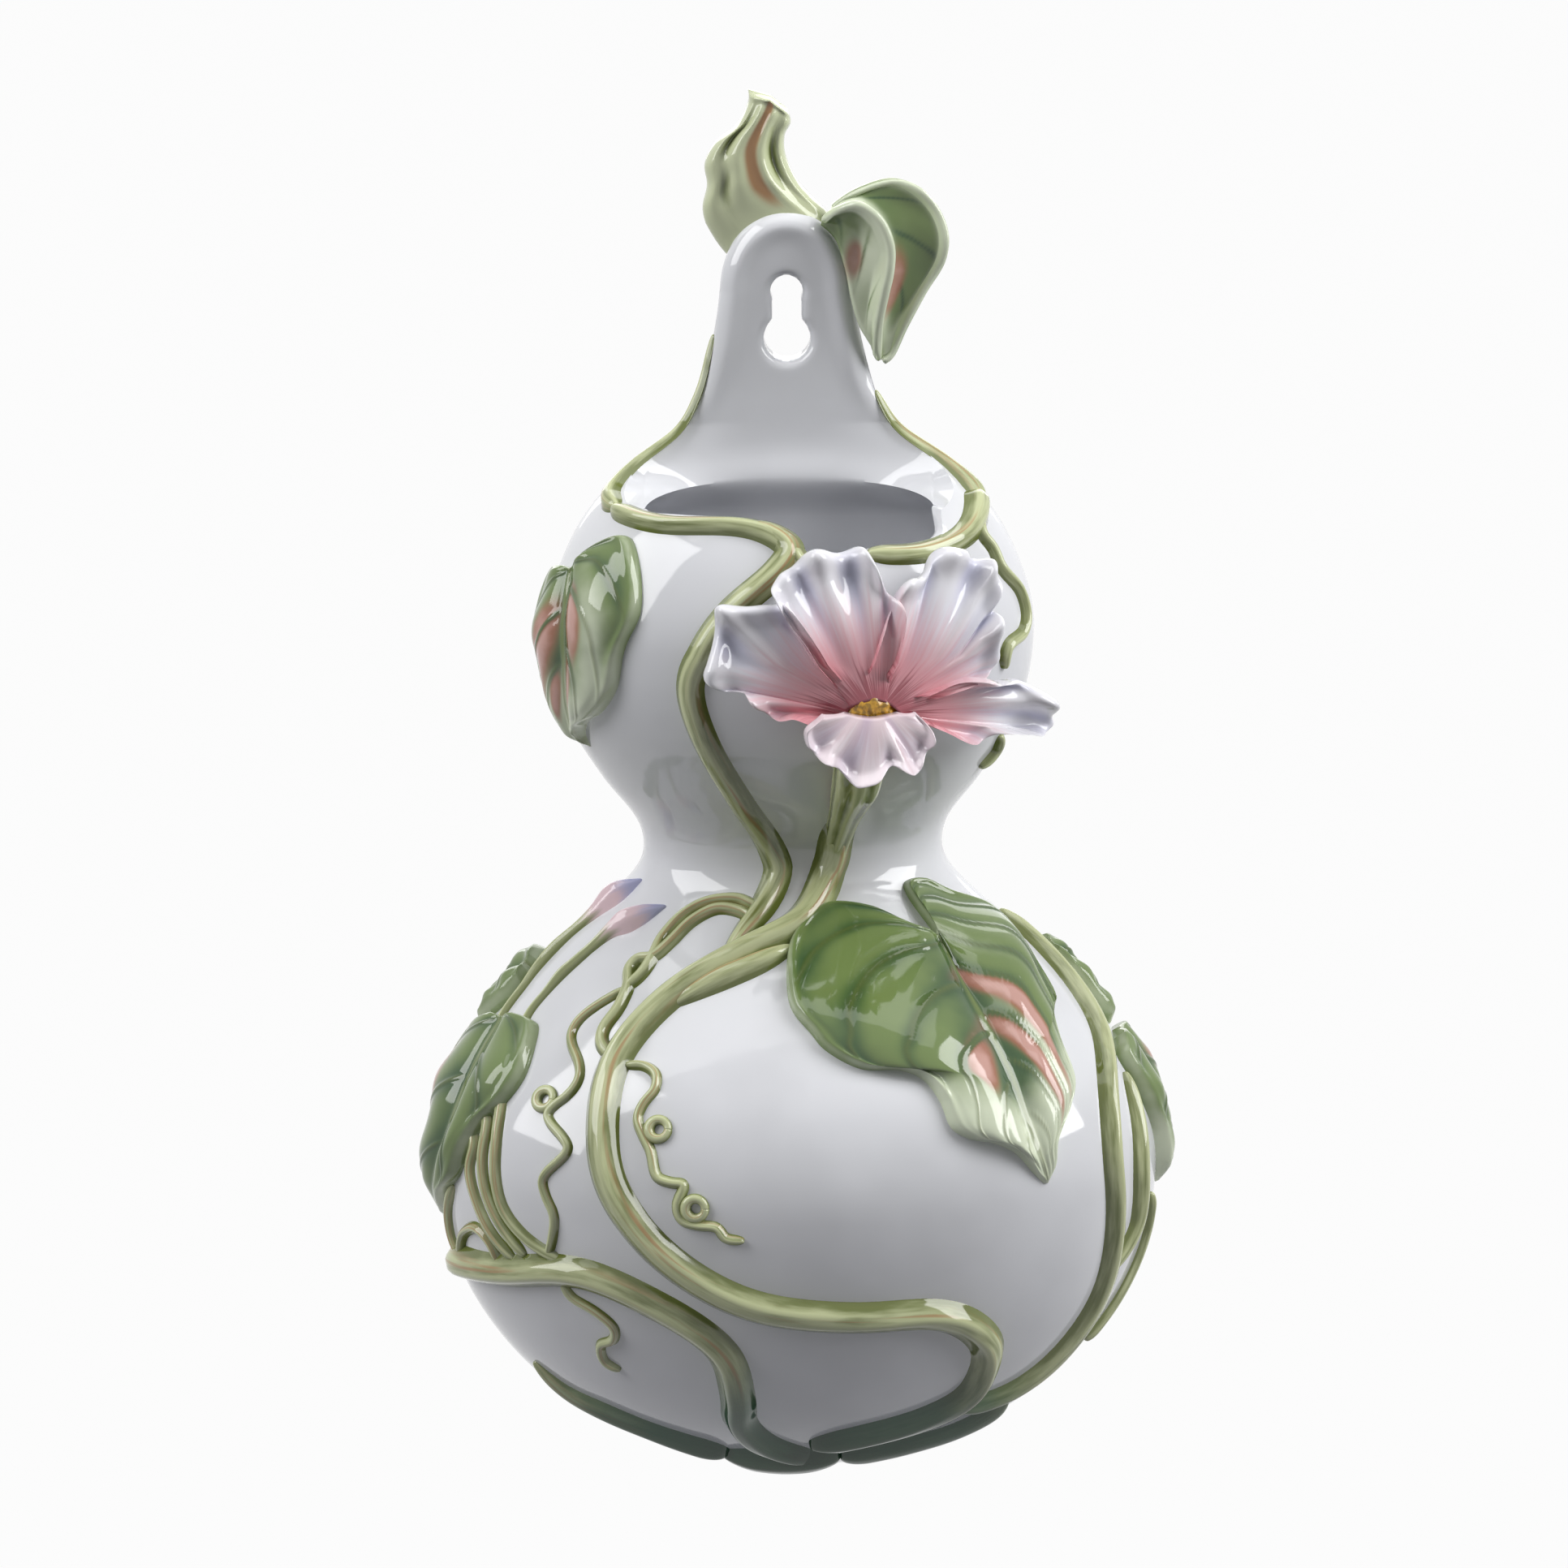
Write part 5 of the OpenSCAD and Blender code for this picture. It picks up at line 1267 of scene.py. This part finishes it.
class VASE_OT_top_leaf(bpy.types.Operator):
    """Builds the leaf beside the tab: a cupped front lobe folded over a flat back lobe"""

    bl_idname = "vase.top_leaf"
    bl_label = "Top Leaf"

    HIDDEN = [(12, -9, 20), (17, -9.5, 22), (22, -10, 19), (25, -10, 12), (25.5, -10, 4),
              (24, -10, -4), (22, -10, -11), (23, -9.5, -17)]
    OUTER = [(11.9, -7, 21.3), (18, -7, 25.4), (27, -7.5, 28.3), (34, -8, 26.8), (39, -8.5, 22),
             (41.8, -9, 15), (41, -9, 8), (36, -9, 0), (31, -9, -9), (27.5, -9, -16.5),
             (24.8, -9, -18.5)]
    INNER = [(9.3, -9, 17.4), (12.9, -9.5, 13.3), (15, -10, 6.5), (16.5, -10, -1.8),
             (18.6, -10, -9), (21.7, -10, -14.2), (23.5, -9.5, -18)]
    FOLD = [(9.3, -10, 18.4), (12.9, -14, 22.1), (18, -17, 24), (22.5, -18, 22),
            (25.6, -18.5, 18.5), (27.4, -18.5, 13), (27.2, -18, 7), (25.8, -17, 1),
            (24.2, -15, -6), (23.6, -12.5, -12.5), (24, -10, -18)]
    THICK = 2.6
    FLAT_VEINS, CUP_VEINS = 4.5, 4.0

    def execute(self, context):
        flat = sheet_between(self.HIDDEN, self.OUTER, self.THICK, self.flat_depth,
                             self.flat_marks)
        cup = sheet_between(self.INNER, self.FOLD, self.THICK, self.cup_depth, self.cup_marks)
        piece("top_leaf_glazed", joined([flat, cup]), leaf_glaze(), ["top_leaf"])
        return {"FINISHED"}

    def flat_depth(self, u, v):
        """Back lobe: hollowed as sin(pi v), with ripples along its veins and a raised margin."""
        ripples = 0.35 * np.sin(2 * np.pi * self.FLAT_VEINS * (u - 0.28 * v)) * v
        return -1.5 * np.sin(np.pi * v) + ripples + 1.2 * bump(v, 0.97, 0.06)

    def flat_marks(self, u, v, gap):
        """Back lobe's colour: teal on the veins, pale at the edges and tip, blush in a patch."""
        c = self.FLAT_VEINS * (u - 0.12 - 0.28 * v)
        line = (bump(np.abs(c - np.round(c)), 0, 0.07) * smooth(v, 0.05, 0.3)
                * smooth(gap, 0.5, 4))
        return {"vein": 0 * u, "pool": 0.05 + 0.6 * line + 0.2 * (1 - v),
                "pale": np.clip(0.15 + bump(gap, 0, 2.6) + smooth(u, 0.72, 0.95), 0, 1),
                "blush": 0.95 * np.exp(-((u - 0.62) / 0.16) ** 2 - ((v - 0.15) / 0.2) ** 2)}

    def cup_depth(self, u, v):
        """Front lobe: cupped as sin(pi v)^1.2 sin(pi u), with ripples along its veins."""
        hollow = -3.6 * np.sin(np.pi * v) ** 1.2 * np.sin(np.pi * np.clip(u, 0.05, 0.95))
        return hollow + 0.3 * np.sin(2 * np.pi * self.CUP_VEINS * (u + 0.18 * v)) \
            * np.sin(np.pi * v)

    def cup_marks(self, u, v, gap):
        """Front lobe's colour: teal on the veins and stem end, a pale fold, blush in a patch."""
        c = self.CUP_VEINS * (u + 0.18 * v)
        line = bump(np.abs(c - np.round(c)), 0, 0.07) * bump(v, 0.45, 0.3)
        rim = smooth(v, 0.80, 0.93)
        pool = np.clip(0.5 * line + 0.3 * (1 - smooth(u, 0.12, 0.3)), 0, 1) * (1 - rim)
        pale = np.clip(0.3 + 0.55 * smooth(u, 0.2, 0.45) + rim, 0, 1) * (1 - 0.6 * line)
        return {"vein": 0 * u, "pool": pool, "pale": pale,
                "blush": 1.0 * np.exp(-((u - 0.36) / 0.09) ** 2 - ((v - 0.25) / 0.25) ** 2)}


class VASE_OT_stage(bpy.types.Operator):
    """Builds the pale floor, the studio light, the white background and the camera"""

    bl_idname = "vase.stage"
    bl_label = "Stage, Light and Camera"

    def execute(self, context):
        self.floor()
        self.world(context.scene)
        self.lamp("Left softbox", (-1.25, -0.40, 0.80), (0.90, 1.20), 17.0)
        self.lamp("Right softbox", (1.30, -0.34, 0.74), (0.85, 1.20), 23.0)
        self.lamp("Top softbox", (0.0, -0.10, 1.10), (1.4, 0.7), 4.5)
        self.lamp("Back softbox", (0.0, 1.30, 0.50), (1.4, 1.0), 7.0)
        self.camera(context.scene)
        context.scene.view_settings.view_transform = "Standard"
        return {"FINISHED"}

    def seen(self, tree):
        """1 for camera, glossy and transmission rays."""
        path = add(tree, "LightPath").outputs
        both = maths(tree, "MAXIMUM", path["Is Camera Ray"], path["Is Glossy Ray"])
        return maths(tree, "MAXIMUM", both, path["Is Transmission Ray"])

    def floor(self):
        """Level matt square under the vase, nearly white to the camera and to glossy rays."""
        mesh = bpy.data.meshes.new("Floor")
        e, z = 30.0, -0.9
        mesh.from_pydata([(-e, -e, z), (e, -e, z), (e, e, z), (-e, e, z)], [], [(0, 1, 2, 3)])
        mat = bpy.data.materials.new("Pale matt floor")
        mat.use_nodes = True
        tree = mat.node_tree
        tree.nodes.clear()
        matt = add(tree, "BsdfDiffuse", {"Color": tint("floor")}).outputs[0]
        white = add(tree, "Emission", {"Color": (1, 1, 1, 1), "Strength": 1.0}).outputs[0]
        share = maths(tree, "MULTIPLY", self.seen(tree), 0.97)
        mixed = add(tree, "MixShader", {0: share, 1: matt, 2: white}).outputs[0]
        add(tree, "OutputMaterial", {"Surface": mixed})
        mesh.materials.append(mat)
        obj = bpy.data.objects.new("Floor", mesh)
        bpy.context.scene.collection.objects.link(obj)

    def world(self, scene):
        """White to the camera and to glossy rays, and a dim cool light on the vase."""
        world = bpy.data.worlds.new("Studio")
        scene.world = world
        world.use_nodes = True
        tree = world.node_tree
        tree.nodes.clear()
        dim = add(tree, "Background", {"Color": (0.86, 0.88, 0.93, 1), "Strength": 0.13}).outputs[0]
        white = add(tree, "Background", {"Color": (1, 1, 1, 1), "Strength": 1.0}).outputs[0]
        mixed = add(tree, "MixShader", {0: self.seen(tree), 1: dim, 2: white}).outputs[0]
        add(tree, "OutputWorld", {"Surface": mixed})

    def lamp(self, name, place, size, watts, target=(0.0, -0.05, -0.13)):
        """Rectangular softbox at a place in metres, turned to the middle of the vase."""
        light = bpy.data.lights.new(name, "AREA")
        light.shape = "RECTANGLE"
        light.size, light.size_y = size
        light.energy = watts
        obj = bpy.data.objects.new(name, light)
        obj.location = place
        aim = Vector(target) - Vector(place)
        obj.rotation_euler = aim.to_track_quat("-Z", "Y").to_euler()
        bpy.context.scene.collection.objects.link(obj)

    def camera(self, scene):
        """Looks down 12 degrees from 1.7 m and leans 0.65 degrees, as the photograph does."""
        tilt, roll, distance = np.radians(12.0), np.radians(0.65), 1.7
        target = np.array([-0.0021, -0.030, -0.1254])
        ahead = np.array([0, np.cos(tilt), -np.sin(tilt)])
        right = np.array([1.0, 0, 0])
        up = np.cross(right, ahead)
        x = np.cos(roll) * right - np.sin(roll) * up
        y = np.sin(roll) * right + np.cos(roll) * up
        cam = bpy.data.cameras.new("Camera")
        cam.sensor_width = 36.0
        cam.lens = 150.8
        obj = bpy.data.objects.new("Camera", cam)
        turn = Matrix(np.stack([x, y, -ahead], 1).tolist()).to_4x4()
        obj.matrix_world = Matrix.Translation((target - distance * ahead).tolist()) @ turn
        bpy.context.scene.collection.objects.link(obj)
        scene.camera = obj


OPERATORS = [VASE_OT_body, VASE_OT_back_plate, VASE_OT_stem_stub, VASE_OT_top_leaf,
             VASE_OT_vines, VASE_OT_tendrils, VASE_OT_leaves, VASE_OT_buds, VASE_OT_petals,
             VASE_OT_centre, VASE_OT_stage]


class VASE_PT_panel(bpy.types.Panel):
    """Lists the sizes, the colours and the pieces"""

    bl_idname = "VASE_PT_panel"
    bl_label = "Wall Vase"
    bl_space_type = "VIEW_3D"
    bl_region_type = "UI"
    bl_category = "Wall Vase"

    def draw(self, context):
        layout = self.layout
        for title, group in (("Sizes", context.scene.vase_sizes),
                             ("Colours", context.scene.vase_colours)):
            box = layout.box()
            box.label(text=title)
            for key in type(group).__annotations__:
                box.prop(group, key)
        for op in OPERATORS:
            layout.operator(op.bl_idname)


CLASSES = [VaseSizes, VaseColours, *OPERATORS, VASE_PT_panel]


def register():
    for c in CLASSES:
        bpy.utils.register_class(c)
    bpy.types.Scene.vase_sizes = bpy.props.PointerProperty(type=VaseSizes)
    bpy.types.Scene.vase_colours = bpy.props.PointerProperty(type=VaseColours)


def unregister():
    del bpy.types.Scene.vase_sizes
    del bpy.types.Scene.vase_colours
    for c in reversed(CLASSES):
        bpy.utils.unregister_class(c)


def main():
    """Builds every piece in order."""
    register()
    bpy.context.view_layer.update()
    for op in OPERATORS:
        group, name = op.bl_idname.split(".")
        getattr(getattr(bpy.ops, group), name)()


if __name__ == "__main__":
    main()
